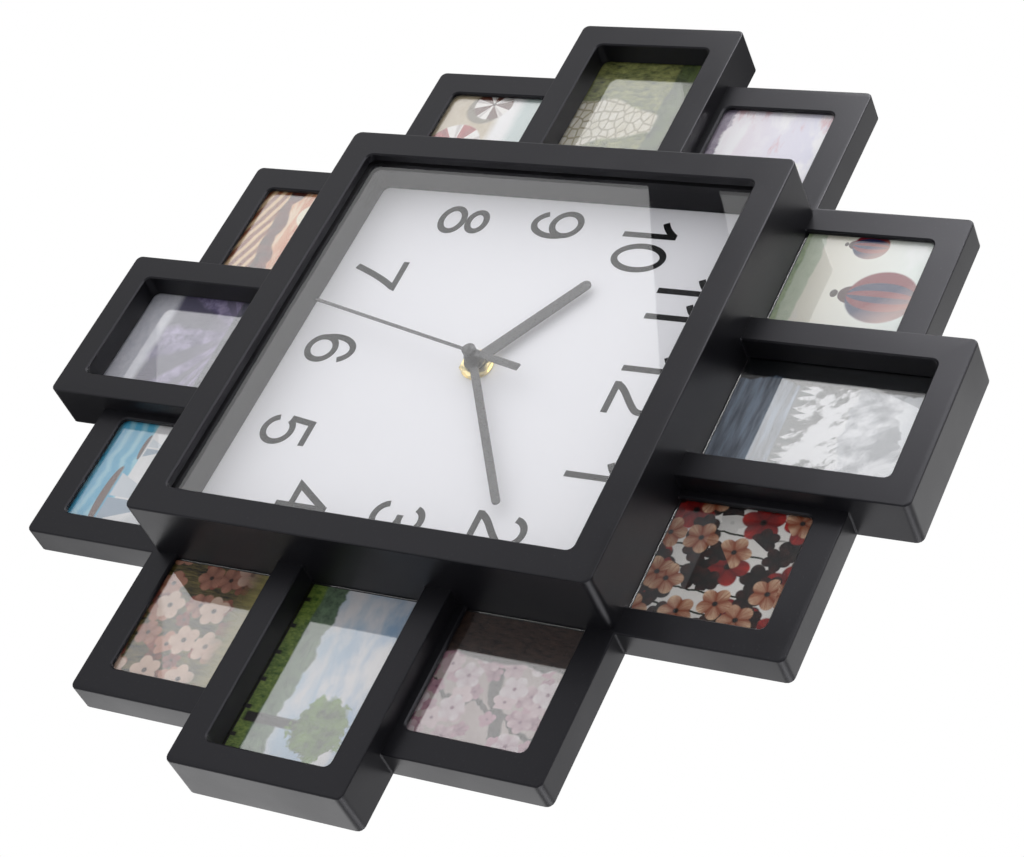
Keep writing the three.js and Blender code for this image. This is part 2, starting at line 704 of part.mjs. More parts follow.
function stepWheel() {
  const phase = meshPhase(STEP_DIRECTION, SECOND_WHEEL, 0, STEP_PINION);
  return join([
    cylinder(0, 0, ARBOR_RADIUS, arborLow, arborHigh, SMALL),
    pinion(STEP_PINION, stepToSecond, phase, secondLayer),
    wheel(STEP_WHEEL, rotorToStep, 0, stepLayer),
  ]);
}

const magnetLow = thirdLayer;

function rotor() {
  const phase = meshPhase(ROTOR_DIRECTION, STEP_WHEEL, 0, ROTOR_PINION);
  return join([
    cylinder(0, 0, ARBOR_RADIUS, arborLow, arborHigh, SMALL),
    pinion(ROTOR_PINION, rotorToStep, phase, stepLayer),
    cylinder(0, 0, MAGNET_RADIUS, magnetLow, magnetLow + MAGNET_THICK),
  ]);
}

function setKnob() {
  const flutes = new THREE.Shape();
  const steps = KNOB_FLUTES * FLUTE_STEPS;
  for (let step = 0; step < steps; step += 1) {
    const angle = step / steps * TURN;
    const radius = KNOB_RADIUS - KNOB_FLUTE_DEPTH * (1 - Math.cos(angle * KNOB_FLUTES)) / 2;
    const point = new THREE.Vector2(radius * Math.cos(angle), radius * Math.sin(angle));
    if (step === 0) flutes.moveTo(point.x, point.y);
    else flutes.lineTo(point.x, point.y);
  }
  const phase = meshPhase(MOTION_DIRECTION, MOTION_WHEEL, motionPhase, KNOB_PINION);
  return join([
    extrude(flutes, knobBack, knobBack + KNOB_DEPTH),
    cylinder(0, 0, KNOB_SHAFT, knobBack, motionLayer + WHEEL_THICK),
    pinion(KNOB_PINION, minuteToMotion, phase, motionLayer),
  ]);
}

// Movement

function postPlaces() {
  const x = trainHalf - POST_INSET;
  const low = trainLow + POST_INSET;
  const high = trainHigh - POST_INSET;
  return [[-x, low], [x, low], [-x, high], [x, high]];
}

const statorLevel = magnetLow + (MAGNET_THICK - STATOR_THICK) / 2;
const statorPost = { x: rotorPlace.x + MAGNET_RADIUS * 2, y: rotorPlace.y + MAGNET_RADIUS };
const boardRight = rotorPlace.x - MAGNET_RADIUS * 2;
const boardLeft = -trainHalf + POST_INSET * 2;
const boardLow = stepPlace.y + ROTOR_DISTANCE;
const boardLevel = caseFloor + LAYER / 2;
const boardPost = { x: (boardLeft + boardRight) / 2, y: (boardLow + trainHigh - GAP) / 2 };

// Rear shell: gear compartment open to the front, battery bay open to the back
function movementCase() {
  const round = [CASE_CORNER, CASE_CORNER, CASE_CORNER, CASE_CORNER];
  const block = extrude(rectangle(-caseHalf, caseBelow, caseHalf, CASE_ABOVE, round), caseBack, caseFront);
  const train = extrude(rectangle(-trainHalf, trainLow, trainHalf, trainHigh), caseFloor, caseFront + PAST);
  const bay = extrude(rectangle(-trainHalf, bayLow, trainHalf, bayHigh), caseBack - PAST, bayFront);
  const foot = caseBack + CASE_WALL / 2;
  const inside = [
    ...postPlaces().map(([x, y]) => cylinder(x, y, POST_RADIUS, foot, arborHigh, SMALL)),
    cylinder(statorPost.x, statorPost.y, POST_RADIUS, foot, statorLevel - GAP, SMALL),
    cylinder(boardPost.x, boardPost.y, POST_RADIUS, foot, boardLevel - GAP, SMALL),
    cylinder(knobPlace.x, knobPlace.y, knobWell + CASE_WALL, caseBack, knobSeat + CASE_WALL, FINE),
  ];
  const well = cylinder(knobPlace.x, knobPlace.y, knobWell, caseBack - PAST, knobSeat, FINE);
  const bearing = cylinder(knobPlace.x, knobPlace.y, KNOB_SHAFT + GAP, caseBack, knobSeat + CASE_WALL + PAST);
  return join([block.subtract(train).subtract(bay), ...inside]).subtract(well).subtract(bearing);
}

// Front plate with the bush through the dial and the stud of the motion wheel
function movementCover() {
  const plate = extrude(
    rectangle(-trainHalf + GAP, trainLow + GAP, trainHalf - GAP, trainHigh - GAP), plateBack, caseFront,
  );
  const bush = cylinder(0, 0, BUSH_RADIUS, plateBack, bushTop, FINE);
  const studTop = caseFront - COVER_PLATE / 2;
  const stud = cylinder(motionPlace.x, motionPlace.y, MOTION_STUD, motionLayer, studTop, SMALL);
  const bore = cylinder(0, 0, HOUR_PIPE + GAP, plateBack - PAST, bushTop + PAST, FINE);
  return join([plate, bush, stud]).subtract(bore);
}

function shaftNut() {
  const hexagon = new THREE.Shape();
  const corner = NUT_ACROSS / Math.sqrt(3);
  for (let side = 0; side < 6; side += 1) {
    const point = away(corner, side / 6 * TURN);
    if (side === 0) hexagon.moveTo(point.x, point.y);
    else hexagon.lineTo(point.x, point.y);
  }
  const low = dialFront + GAP;
  const middle = low + NUT_FLANGE_THICK;
  const nut = cylinder(0, 0, NUT_FLANGE, low, middle, FINE).add(extrude(hexagon, low, middle + NUT_THICK));
  return nut.subtract(cylinder(0, 0, BUSH_RADIUS + GAP, low - PAST, bushTop + PAST, FINE));
}

// Stator plate round the rotor, with the coil wound on its outer leg
function motorCoil() {
  const left = rotorPlace.x - MAGNET_RADIUS - GAP * 3;
  const right = trainHalf - GAP * 2;
  const low = rotorPlace.y - MAGNET_RADIUS;
  const high = trainHigh - POST_INSET - POST_RADIUS - GAP;
  const coilX = right - COIL_RADIUS;
  const coilY = high - COIL_MARGIN - COIL_LENGTH / 2;
  const front = statorLevel + STATOR_THICK;
  const plate = extrude(rectangle(left, low, right - COIL_RADIUS / 2, high), statorLevel, front);
  const holeRadius = MAGNET_RADIUS + GAP * 2;
  const hole = cylinder(rotorPlace.x, rotorPlace.y, holeRadius, statorLevel - PAST, front + PAST);
  const coil = toSolid(
    new THREE.CylinderGeometry(COIL_RADIUS, COIL_RADIUS, COIL_LENGTH, PLAIN)
      .translate(coilX, coilY, statorLevel + STATOR_THICK / 2),
  );
  return plate.subtract(hole).add(coil);
}

function circuitBoard() {
  const front = boardLevel + BOARD_THICK;
  const board = extrude(rectangle(boardLeft, boardLow, boardRight, trainHigh - GAP), boardLevel, front);
  const crystal = toSolid(
    new THREE.CylinderGeometry(CRYSTAL_RADIUS, CRYSTAL_RADIUS, CRYSTAL_LENGTH, SMALL)
      .rotateZ(QUARTER)
      .translate(boardPost.x, boardPost.y, front + CRYSTAL_RADIUS / 2),
  );
  return board.add(crystal);
}

function battery() {
  const half = CELL_LENGTH / 2;
  const cell = new THREE.LatheGeometry([
    [0, -half],
    [CELL_RADIUS - CELL_EDGE, -half],
    [CELL_RADIUS, CELL_EDGE - half],
    [CELL_RADIUS, half - CELL_EDGE],
    [CELL_RADIUS - CELL_EDGE, half],
    [CELL_NUB_RADIUS, half],
    [CELL_NUB_RADIUS, half + CELL_NUB_LENGTH],
    [0, half + CELL_NUB_LENGTH],
  ].map(([radius, height]) => new THREE.Vector2(radius, height)), FINE);
  return mergeVertices(bareOf(cell.rotateZ(-QUARTER)), WELD);
}

function bareOf(geometry) {
  geometry.deleteAttribute('normal');
  geometry.deleteAttribute('uv');
  return geometry;
}

// Leaf contact: a strip bowed towards the cell, seen from above and extruded along its height
function leafContact() {
  const half = CONTACT_WIDTH / 2;
  const shape = new THREE.Shape();
  shape.moveTo(0, -half);
  shape.quadraticCurveTo(2 * CONTACT_BOW, 0, 0, half);
  shape.lineTo(-CONTACT_THICK, half);
  shape.quadraticCurveTo(2 * CONTACT_BOW - CONTACT_THICK, 0, -CONTACT_THICK, -half);
  const depth = CONTACT_HEIGHT;
  const curveSegments = CURVE_STEPS;
  const geometry = new THREE.ExtrudeGeometry(shape, { depth, bevelEnabled: false, curveSegments });
  return mergeVertices(bareOf(geometry.translate(CONTACT_THICK, 0, -depth / 2)), WELD);
}

function movement() {
  const group = new THREE.Group();
  const bayMiddle = (bayLow + bayHigh) / 2;
  const cell = piece('battery', battery(), cellJacket);
  cell.position.set(-CELL_NUB_LENGTH / 2, bayMiddle, cellAxis);
  const minus = piece('contact_minus', leafContact(), steel);
  minus.position.set(-trainHalf + GAP, bayMiddle, cellAxis);
  const plus = piece('contact_plus', leafContact(), steel);
  plus.position.set(trainHalf - GAP, bayMiddle, cellAxis);
  plus.rotation.z = TURN / 2;
  const knob = solidPiece('set_knob', setKnob(), black);
  knob.position.set(knobPlace.x, knobPlace.y, 0);
  const third = solidPiece('third_wheel', thirdWheel(), nylon);
  third.position.set(thirdPlace.x, thirdPlace.y, 0);
  const motion = solidPiece('motion_wheel', motionWheel(), nylon);
  motion.position.set(motionPlace.x, motionPlace.y, 0);
  const step = solidPiece('step_wheel', stepWheel(), nylon);
  step.position.set(stepPlace.x, stepPlace.y, 0);
  const turning = solidPiece('rotor', rotor(), nylon);
  turning.position.set(rotorPlace.x, rotorPlace.y, 0);
  group.add(
    solidPiece('movement_case', movementCase(), blackInside),
    solidPiece('movement_cover', movementCover(), blackInside),
    solidPiece('shaft_nut', shaftNut(), brass),
    solidPiece('second_wheel', secondWheel(), nylon),
    solidPiece('minute_wheel', minuteWheel(), nylon),
    solidPiece('hour_wheel', hourWheel(), nylon),
    solidPiece('motor_coil', motorCoil(), copper),
    solidPiece('circuit_board', circuitBoard(), boardGreen),
    cell, minus, plus, knob, third, motion, step, turning,
  );
  return group;
}

function hands() {
  const group = new THREE.Group();
  const minutes = SHOWN_MINUTE + SHOWN_SECOND / 60;
  const hours = SHOWN_HOUR + minutes / 60;
  const hourBore = HOUR_PIPE + GAP;
  const minuteBore = MINUTE_PIPE + GAP;
  const hourBar = barHand(HOUR_LENGTH, HOUR_WIDTH, HOUR_TIP_WIDTH, HOUR_BOSS, hourBore, hourLevel);
  const minuteBar = barHand(MINUTE_LENGTH, MINUTE_WIDTH, MINUTE_WIDTH, MINUTE_BOSS, minuteBore, minuteLevel);
  const hour = solidPiece('hour_hand', hourBar, handBlack);
  const minute = solidPiece('minute_hand', minuteBar, handBlack);
  const second = solidPiece('second_hand', secondHand(), handBlack);
  hour.rotation.z = -hours / 12 * TURN;
  minute.rotation.z = -minutes / 60 * TURN;
  second.rotation.z = -SHOWN_SECOND / 60 * TURN;
  group.add(hour, minute, second);
  return group;
}

const face = new THREE.Group();
face.rotation.x = QUARTER;
face.add(
  solidPiece('front_frame', frontFrame(), black),
  solidPiece('clock_glass', clockGlass(), clear),
  solidPiece('spacer_frame', spacerFrame(), blackInside),
  solidPiece('dial_plate', dialPlate(), white),
  solidPiece('back_panel', backPanel(), fibre),
  movement(),
  hands(),
  ...sideNames.map((names, side) => photoSide(side)),
);

const clock = new THREE.Group();
clock.position.z = -HOOK_HEIGHT;
clock.add(face);

export default clock;
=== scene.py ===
import json
import math

import bmesh
import bpy
from mathutils import Matrix, Vector
from mathutils.geometry import delaunay_2d_cdt


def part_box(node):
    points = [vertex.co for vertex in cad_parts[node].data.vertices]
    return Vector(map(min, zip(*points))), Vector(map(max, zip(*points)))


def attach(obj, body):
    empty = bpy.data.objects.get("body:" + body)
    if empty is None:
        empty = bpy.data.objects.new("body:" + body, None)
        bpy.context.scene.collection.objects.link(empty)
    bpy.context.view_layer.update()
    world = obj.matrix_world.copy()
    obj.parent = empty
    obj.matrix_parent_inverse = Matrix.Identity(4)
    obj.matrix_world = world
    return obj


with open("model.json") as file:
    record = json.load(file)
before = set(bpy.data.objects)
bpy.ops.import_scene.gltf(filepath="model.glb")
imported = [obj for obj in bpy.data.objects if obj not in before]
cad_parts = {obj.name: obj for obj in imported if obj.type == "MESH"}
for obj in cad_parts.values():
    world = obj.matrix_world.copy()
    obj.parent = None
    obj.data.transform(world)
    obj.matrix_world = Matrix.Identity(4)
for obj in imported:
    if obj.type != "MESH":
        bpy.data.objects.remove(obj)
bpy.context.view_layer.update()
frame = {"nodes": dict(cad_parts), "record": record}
nodes = frame["nodes"]

MM = 0.001

# Camera
CAMERA_PLACE = (0.5273, -0.7023, 0.4468)
CAMERA_FORWARD = (-0.5082, 0.6937, -0.5104)
CAMERA_UP = (-0.7605, -0.6396, -0.1121)
CAMERA_LENS = 88.47
SENSOR_WIDTH = 36.0
CAMERA_CLIP = (0.01, 50.0)

# Light
WORLD_LIGHT = 0.8                   # what the white surround adds to matt surfaces
STUDIO_REACH = 1.0                  # from the clock to what stands round it
# Way from the middle of the dial, width, height, brightness, and what sees it
PANELS = {
    "key_panel": ((-0.56, -0.66, -0.50), 1.8, 1.8, 0.58, "matt"),
    "side_panel": ((0.54, 0.74, -0.46), 0.42, 0.62, 1.2, "shiny"),
    "end_panel": ((-0.34, 0.70, 0.40), 0.45, 0.45, 0.68, "shiny"),
    "corner_panel": ((0.45, 0.75, 0.46), 0.5, 0.5, 4.0, "shiny"),
    "edge_panel": ((-0.51, -0.51, 0.69), 0.7, 0.7, 3.2, "shiny"),
    "edge_fill": ((-0.51, -0.51, 0.69), 0.7, 0.7, 2.8, "shiny"),
}
# Edge in mm where the front mirrors it, spread from there in m, and brightness
MIRRORED_PANELS = {
    "sheen_panel": ((-330.0, -64.0), (240.0, 232.0), -0.47, 0.6),
    "tall_panel": ((-36.0, 112.0), (36.0, 112.0), 0.17, 1.3),
    "upper_panel": ((-420.0, -6.0), (60.0, 246.0), 0.45, 11.5),
}
MIRRORED_CARDS = {                  # corners in mm where the front mirrors dark cards
    "dark_bar": ((-120.0, 30.2), (38.0, 106.4), (-40.0, 107.0), (-120.0, 59.0)),
    "right_flag": ((38.0, 106.4), (110.0, 106.4), (240.0, 160.0), (240.0, 290.0), (38.0, 170.0)),
}
CARD_REACH = 0.9                    # from the glass to these cards
# Panels kept out of the clear sheets, which would mirror them at other angles
SHADED_PANELS = ("upper_panel", "edge_panel")
LOW_CARDS = {                       # place, what it faces, and size of dark cards close behind the clock
    "low_card": ((0.075, 0.065, -0.31), (0.04, -0.01, -0.25), 0.1),
    "end_card": ((-0.33, 0.105, 0.006), (-0.17, -0.01, -0.044), 0.09),
}
FLOOR_DROP = 1.35                   # floor below the hook
FLOOR_RADIUS = 1.04
FLOOR_SIDES = 64

# Dial print, in mm
DIGIT_HEIGHT = 24.5
DIGIT_STROKE = 2.9
PRINT_RISE = 0.06
PRINT_MERGE = 1e-4                  # points of the print closer than this are one
MITRE_LIMIT = 0.3                   # least cosine by which a turn widens a stroke
NUMERALS = {                        # height of the middle line, then where each digit stands along it
    12: (75.2, (-8.1, 6.8)), 1: (73.6, (45.8,)), 2: (46.1, (76.3,)), 3: (0.9, (78.2,)),
    4: (-44.3, (76.2,)), 5: (-71.1, (43.7,)), 6: (-72.9, (-0.6,)), 7: (-71.2, (-43.5,)),
    8: (-44.7, (-77.5,)), 9: (0.7, (-79.5,)), 10: (45.4, (-77.6, -65.2)), 11: (73.4, (-49.1, -35.4)),
}

# Back panel screws, in mm
SCREW_PLACE = 100.2
SCREW_HEAD = 2.9                    # radius
SCREW_HEAD_HEIGHT = 1.0
SCREW_DOME = 0.55                   # share of the head's height for its dome, and for the recess
SCREW_DOME_ANGLES = (0.0, 0.5, 1.0, 1.35)
SCREW_RIM = 0.6                     # share of the head's height where its rim starts
SCREW_SHANK = 1.1                   # radius
SCREW_LENGTH = 9.0
SCREW_TIP = ((0.3, 1.06), (0.0, 1.07))  # shares of the shank's radius and length
SCREW_SINK = 1.2                    # its seat below the back of the panel
SCREW_TURNS = (0.4, 1.3, 2.2, 3.1)  # how far each was driven, in radians
RECESS_LENGTH = 3.48
RECESS_WIDTH = 0.42

FRAME_CORNER = 1.5                  # rounding of the moulding's inner corners, in mm
BEVEL_SAMPLES = 4
WALL_TILT = 0.5                     # a face is a wall if its normal leans less than this to the front or back
NOISE_RANGE = (0.3, 0.7)            # where nearly all of a noise lies
MIX_FACTOR, MIX_FIRST, MIX_SECOND, MIX_COLOUR = 0, 6, 7, 2  # sockets of a mix node that mixes colours
EDGE_ANGLE = math.radians(32)       # sharper edges than this stay crisp
WELD = 1e-6                         # points closer than this are one

dial_low, dial_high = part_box("dial_plate")
middle = (dial_low + dial_high) / 2
dial_front = dial_low.y
wall_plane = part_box("back_panel")[1].y


def on_face(u, v, depth):
    """Point u mm to three o'clock and v mm to twelve from the middle of the dial, at a depth along Y."""
    return Vector((middle.x + u * MM, depth, middle.z + v * MM))


def colour(code):
    """Linear colour of a hex code."""
    parts = [(code >> shift & 255) / 255 for shift in (16, 8, 0)]
    return tuple(c / 12.92 if c <= 0.04045 else ((c + 0.055) / 1.055) ** 2.4 for c in parts) + (1.0,)


# Node trees written as sums

class Value:
    """A number, vector or colour that a node tree works out."""

    def __init__(self, tree, socket):
        self.tree = tree
        self.socket = socket

    def __add__(self, other):
        return self.tree.math("ADD", self, other)

    def __sub__(self, other):
        return self.tree.math("SUBTRACT", self, other)

    def __rsub__(self, other):
        return self.tree.math("SUBTRACT", other, self)

    def __mul__(self, other):
        return self.tree.math("MULTIPLY", self, other)

    def __truediv__(self, other):
        return self.tree.math("DIVIDE", self, other)


class Tree:
    """One material, built from values."""

    def __init__(self, name):
        self.material = bpy.data.materials.new(name)
        self.material.use_nodes = True
        self.nodes = self.material.node_tree.nodes
        self.links = self.material.node_tree.links
        self.nodes.clear()
        self.output = self.nodes.new("ShaderNodeOutputMaterial")

    def feed(self, socket, value):
        if isinstance(value, Value):
            self.links.new(value.socket, socket)
        else:
            socket.default_value = value

    def node(self, kind, inputs, output=0, **settings):
        node = self.nodes.new(kind)
        for name, value in settings.items():
            setattr(node, name, value)
        for key, value in inputs.items():
            self.feed(node.inputs[key], value)
        return Value(self, node.outputs[output])

    def math(self, operation, *values):
        return self.node("ShaderNodeMath", dict(enumerate(values)), operation=operation)

    def place(self):
        """Where the point lies in the frame, in mm."""
        coordinates = self.node("ShaderNodeTexCoord", {}, output="Object")
        return self.node("ShaderNodeVectorMath", {0: coordinates, 3: 1 / MM}, operation="SCALE")

    def split(self, vector):
        node = self.nodes.new("ShaderNodeSeparateXYZ")
        self.feed(node.inputs[0], vector)
        return [Value(self, out) for out in node.outputs]

    def vector(self, x, y, z=0.0):
        return self.node("ShaderNodeCombineXYZ", {0: x, 1: y, 2: z})

    def noise(self, vector, size, detail=3.0, roughness=0.55, warp=0.0):
        """Cloudy noise from 0 to 1 whose patches are about size across."""
        inputs = {
            "Vector": vector, "Scale": 1 / size,
            "Detail": detail, "Roughness": roughness, "Distortion": warp,
        }
        return self.node("ShaderNodeTexNoise", inputs)

    def cells(self, vector, size, output="Distance", feature="F1"):
        """Flat cells about size across, each round a point of its own."""
        inputs = {"Vector": vector, "Scale": 1 / size, "Randomness": 0.8}
        return self.node(
            "ShaderNodeTexVoronoi", inputs, output=output, feature=feature, voronoi_dimensions="2D",
        )

    def fit(self, value, low, high, start=0.0, end=1.0, smooth=False):
        """value from low..high taken to start..end."""
        kind = "SMOOTHSTEP" if smooth else "LINEAR"
        inputs = {0: value, 1: low, 2: high, 3: start, 4: end}
        return self.node("ShaderNodeMapRange", inputs, interpolation_type=kind)

    def spread(self, noise, start=0.0, end=1.0):
        """A noise taken to start..end."""
        return self.fit(noise, *NOISE_RANGE, start, end)

    def ramp(self, value, stops):
        node = self.nodes.new("ShaderNodeValToRGB")
        self.feed(node.inputs[0], value)
        elements = node.color_ramp.elements
        while len(elements) < len(stops):
            elements.new(0.5)
        for element, (position, tint) in zip(elements, stops):
            element.position = position
            element.color = tint
        return Value(self, node.outputs[0])

    def mix(self, factor, first, second):
        inputs = {MIX_FACTOR: factor, MIX_FIRST: first, MIX_SECOND: second}
        return self.node("ShaderNodeMix", inputs, output=MIX_COLOUR, data_type="RGBA")

    def soft_corners(self, radius):
        """Normal that rounds the corners between walls by a radius in mm, and leaves fronts flat."""
        plain = self.node("ShaderNodeNewGeometry", {}, output="Normal")
        x, y, z = self.split(plain)
        bevel = self.node("ShaderNodeBevel", {"Radius": radius * MM}, samples=BEVEL_SAMPLES)
        round_x, _, round_z = self.split(bevel)
        wall = self.math("LESS_THAN", self.math("ABSOLUTE", y), WALL_TILT)
        turned = self.vector(x + (round_x - x) * wall, y, z + (round_z - z) * wall)
        return self.node("ShaderNodeVectorMath", {0: turned}, operation="NORMALIZE")

    def bump(self, height, depth, strength=1.0, normal=None):
        """Normal from a height of 0 to 1 that stands for depth in mm."""
        inputs = {"Height": height, "Distance": depth * MM, "Strength": strength}
        if normal:
            inputs["Normal"] = normal
        return self.node("ShaderNodeBump", inputs)

    def surface(self, **sockets):
        """Principled surface; socket names use _ for a space."""
        inputs = {name.replace("_", " "): value for name, value in sockets.items()}
        shader = self.node("ShaderNodeBsdfPrincipled", inputs)
        self.links.new(shader.socket, self.output.inputs["Surface"])
        return self.material


# Materials

MOULDED = {                         # tint, roughness, grain and its relief in mm, rounding of inner corners
    "frame_black": (colour(0x101013), 0.34, 0.32, 0.012, FRAME_CORNER),
    "inner_black": (colour(0x0e0e10), 0.45, 0.4, 0.012),
    "cover_fibre": (colour(0x222224), 0.55, 0.7, 0.05),
    "movement_black": (colour(0x1b1b1d), 0.48, 0.5, 0.03),
}
CLEAR_SHEETS = {                    # index of refraction, and height of its waves in mm
    "clock_glass": (1.5, 0.02),
    "lens_clear": (1.8, 0.05),
}


def moulded_black(name, tint, roughness, grain, relief, corner=0.0):
    """Moulded black plastic with a fine spark-eroded grain and a slightly uneven sheen."""
    t = Tree(name)
    place = t.place()
    cloud = t.noise(place, 38.0)
    pits = t.noise(place, grain, detail=2.0)
    dust = t.fit(t.noise(place, 0.9, detail=1.0), 0.66, 0.8)
    base = t.mix(cloud * 0.8, tint, tuple(c * 1.35 for c in tint[:3]) + (1.0,))
    return t.surface(
        Base_Color=t.mix(dust * 0.06, base, colour(0x6a6a6c)),
        Roughness=t.spread(cloud * 0.7 + pits * 0.3, roughness - 0.05, roughness + 0.06),
        Specular_IOR_Level=0.195,
        Specular_Tint=(0.91, 0.9, 1.0, 1.0),
        Normal=t.bump(pits, relief, 0.5, t.soft_corners(corner) if corner else None),
    )


def dial_white():
    """Smooth white board with a faint paper tooth."""
    t = Tree("dial_white")
    place = t.place()
    tooth = t.noise(place, 0.35, detail=3.0)
    cloud = t.noise(place, 60.0)
    return t.surface(
        Base_Color=t.mix(cloud, colour(0xeeeef1), colour(0xf2f2f4)),
        Roughness=t.spread(tooth, 0.5, 0.62),
        Specular_IOR_Level=0.3,
        Normal=t.bump(tooth, 0.008, 0.06),
    )


def dial_ink():
    """Matt black print."""
    t = Tree("dial_ink")
    grain = t.noise(t.place(), 0.4, detail=2.0)
    return t.surface(
        Base_Color=t.mix(grain, colour(0x0a0a0b), colour(0x121214)),
        Roughness=t.spread(grain, 0.42, 0.55),
        Specular_IOR_Level=0.12,
        Normal=t.bump(grain, 0.006, 0.4),
    )


def clear_sheet(name, index, wave):
    """Clear flat sheet that lets lamps through and reflects with a slight wave."""
    t = Tree(name)
    place = t.place()
    ripple = t.noise(place, 45.0, detail=1.0)
    smear = t.noise(place, 14.0, detail=4.0, warp=1.5)
    inputs = {
        "Base Color": (0.99, 0.99, 1.0, 1.0),
        "Roughness": t.fit(smear, 0.45, 0.85, 0.0, 0.03),
        "IOR": index,
        "Transmission Weight": 1.0,
        "Normal": t.bump(ripple, wave),
    }
    sheet = t.node("ShaderNodeBsdfPrincipled", inputs)
    open_sheet = t.node("ShaderNodeBsdfTransparent", {"Color": (0.93, 0.93, 0.94, 1.0)})
    path = t.nodes.new("ShaderNodeLightPath")
    shadow = Value(t, path.outputs["Is Shadow Ray"])
    diffuse = Value(t, path.outputs["Is Diffuse Ray"])
    lamp = t.math("MAXIMUM", shadow, diffuse)
    whole = t.node("ShaderNodeMixShader", {0: lamp, 1: sheet, 2: open_sheet})
    t.links.new(whole.socket, t.output.inputs["Surface"])
    return t.material


def hand_black():
    """Stamped hands in satin black enamel with a light orange peel."""
    t = Tree("hand_black")
    place = t.place()
    peel = t.noise(place, 0.8, detail=2.0)
    return t.surface(
        Base_Color=t.mix(peel, colour(0x1a1a1c), colour(0x222224)),
        Roughness=t.spread(peel, 0.2, 0.3),
        Specular_IOR_Level=0.85,
        Normal=t.bump(peel, 0.01, 0.5),
    )


def turned_brass():
    """Brass with the fine rings that a lathe leaves round the dial's axis."""
    t = Tree("nut_brass")
    x, y, z = t.split(t.place())
    z = z - middle.z / MM
    radius = t.math("SQRT", x * x + z * z)
    rings = t.noise(t.vector(radius, y), 0.22, detail=2.0)
    stain = t.noise(t.place(), 4.0)
    return t.surface(
        Base_Color=t.mix(stain, colour(0xf8e8b4), colour(0xeed898)),
        Metallic=1.0,
        Roughness=t.spread(rings, 0.14, 0.3),
        Normal=t.bump(rings, 0.01, 0.4),
    )


def natural_nylon():
    """Uncoloured nylon of the wheels, which lets a little light in."""
    t = Tree("gear_nylon")
    place = t.place()
    cloud = t.noise(place, 5.0)
    return t.surface(
        Base_Color=t.mix(cloud, colour(0xe9e4d6), colour(0xdcd6c4)),
        Roughness=t.spread(cloud, 0.4, 0.55),
        Subsurface_Weight=0.1,
        Subsurface_Radius=(0.001, 0.0008, 0.0006),
        Normal=t.bump(t.noise(place, 0.3), 0.008, 0.3),
    )


def wound_copper():
    """Enamelled wire: close turns across the coil's length, with painted shade in the grooves between them.
    """
    t = Tree("coil_copper")
    x, _, _ = t.split(t.place())
    # turns is 0 in the grooves between the turns; there the colour is a painted shade of dark copper
    turns = t.math("ABSOLUTE", t.math("SINE", x * (math.pi / 0.25)))
    tone = t.noise(t.place(), 1.5)
    return t.surface(
        Base_Color=t.mix(turns, colour(0x4a1d0c), t.mix(tone, colour(0xc06a34), colour(0xa8552d))),
        Metallic=0.85,
        Roughness=t.spread(tone, 0.25, 0.4),
        Normal=t.bump(turns, 0.1, 0.8),
    )


def coated_board():
    """Green board with lighter tracks under its coat."""
    t = Tree("board_green")
    place = t.place()
    x, _, z = t.split(place)
    edge = t.cells(t.vector(x, z), 2.6, feature="DISTANCE_TO_EDGE")
    track = t.fit(edge, 0.1, 0.14, 1.0, 0.0)
    weave = t.noise(place, 0.3)
    return t.surface(
        Base_Color=t.mix(track, t.mix(weave, colour(0x1f5636), colour(0x27633f)), colour(0x4d8a52)),
        Roughness=t.spread(weave, 0.28, 0.4),
        Normal=t.bump(track, 0.03, 0.6),
    )


def plated_steel():
    """Nickel plated spring steel with rolling marks."""
    t = Tree("contact_steel")
    x, y, z = t.split(t.place())
    marks = t.noise(t.vector(x * 0.1, y, z), 0.25, detail=2.0)
    return t.surface(
        Base_Color=t.mix(marks, colour(0xc9cacb), colour(0xa9abad)),
        Metallic=1.0,
        Roughness=t.spread(marks, 0.2, 0.38),
        Normal=t.bump(marks, 0.008, 0.5),
    )


def cell_jacket():
    """Dry cell in a plain shrunk jacket: dark body, copper-coloured shoulder and bare steel ends."""
    t = Tree("cell_jacket")
    place = t.place()
    x, _, _ = t.split(place)
    low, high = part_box("battery")
    foot, top, shoulder = 0.5, 1.6, 13.0
    left, right = low.x / MM, high.x / MM
    bare_foot = t.fit(x, left + foot, left + foot + 0.05, 1.0, 0.0)
    bare_top = t.fit(x, right - top, right - top + 0.05)
    bare = t.math("MAXIMUM", bare_foot, bare_top)
    warm = t.fit(x, right - shoulder, right - shoulder + 0.08)
    film = t.noise(place, 6.0, detail=3.0, warp=1.0)
    jacket = t.mix(warm, colour(0x23344a), colour(0xa9763f))
    return t.surface(
        Base_Color=t.mix(bare, jacket, colour(0xc3c5c7)),
        Metallic=t.math("MAXIMUM", bare, warm * 0.7),
        Roughness=t.spread(film, 0.22, 0.36),
        Normal=t.bump(film, 0.05, 0.3),
    )


# Generic pictures behind the lenses. x and y run from the picture's middle, and its shorter half is 1.

def below(t, y, level, soft=0.02):
    return t.fit(level - y, -soft, soft, smooth=True)


def disc(t, x, y, centre, radii, soft=0.04):
    across = (x - centre[0]) / radii[0]
    up = (y - centre[1]) / radii[1]
    return t.fit(t.math("SQRT", across * across + up * up), 1 - soft, 1 + soft, 1.0, 0.0, smooth=True)


def ridge(t, x, base, rise, size, seed, detail=4.0):
    """Height of a skyline that wanders about a base."""
    return (t.noise(t.vector(x, seed), size, detail=detail) - 0.5) * (2 * rise) + base


def clouds(t, x, y, size, seed, cover):
    billow = t.noise(t.vector(x * 0.6, y * 1.3, seed), size, detail=6.0)
    return t.fit(billow, cover, cover + 0.2, smooth=True)


def speckle(t, x, y, size, seed, low, high):
    grain = t.noise(t.vector(x, y, seed), size, detail=5.0, roughness=0.7)
    return t.mix(t.spread(grain), low, high)


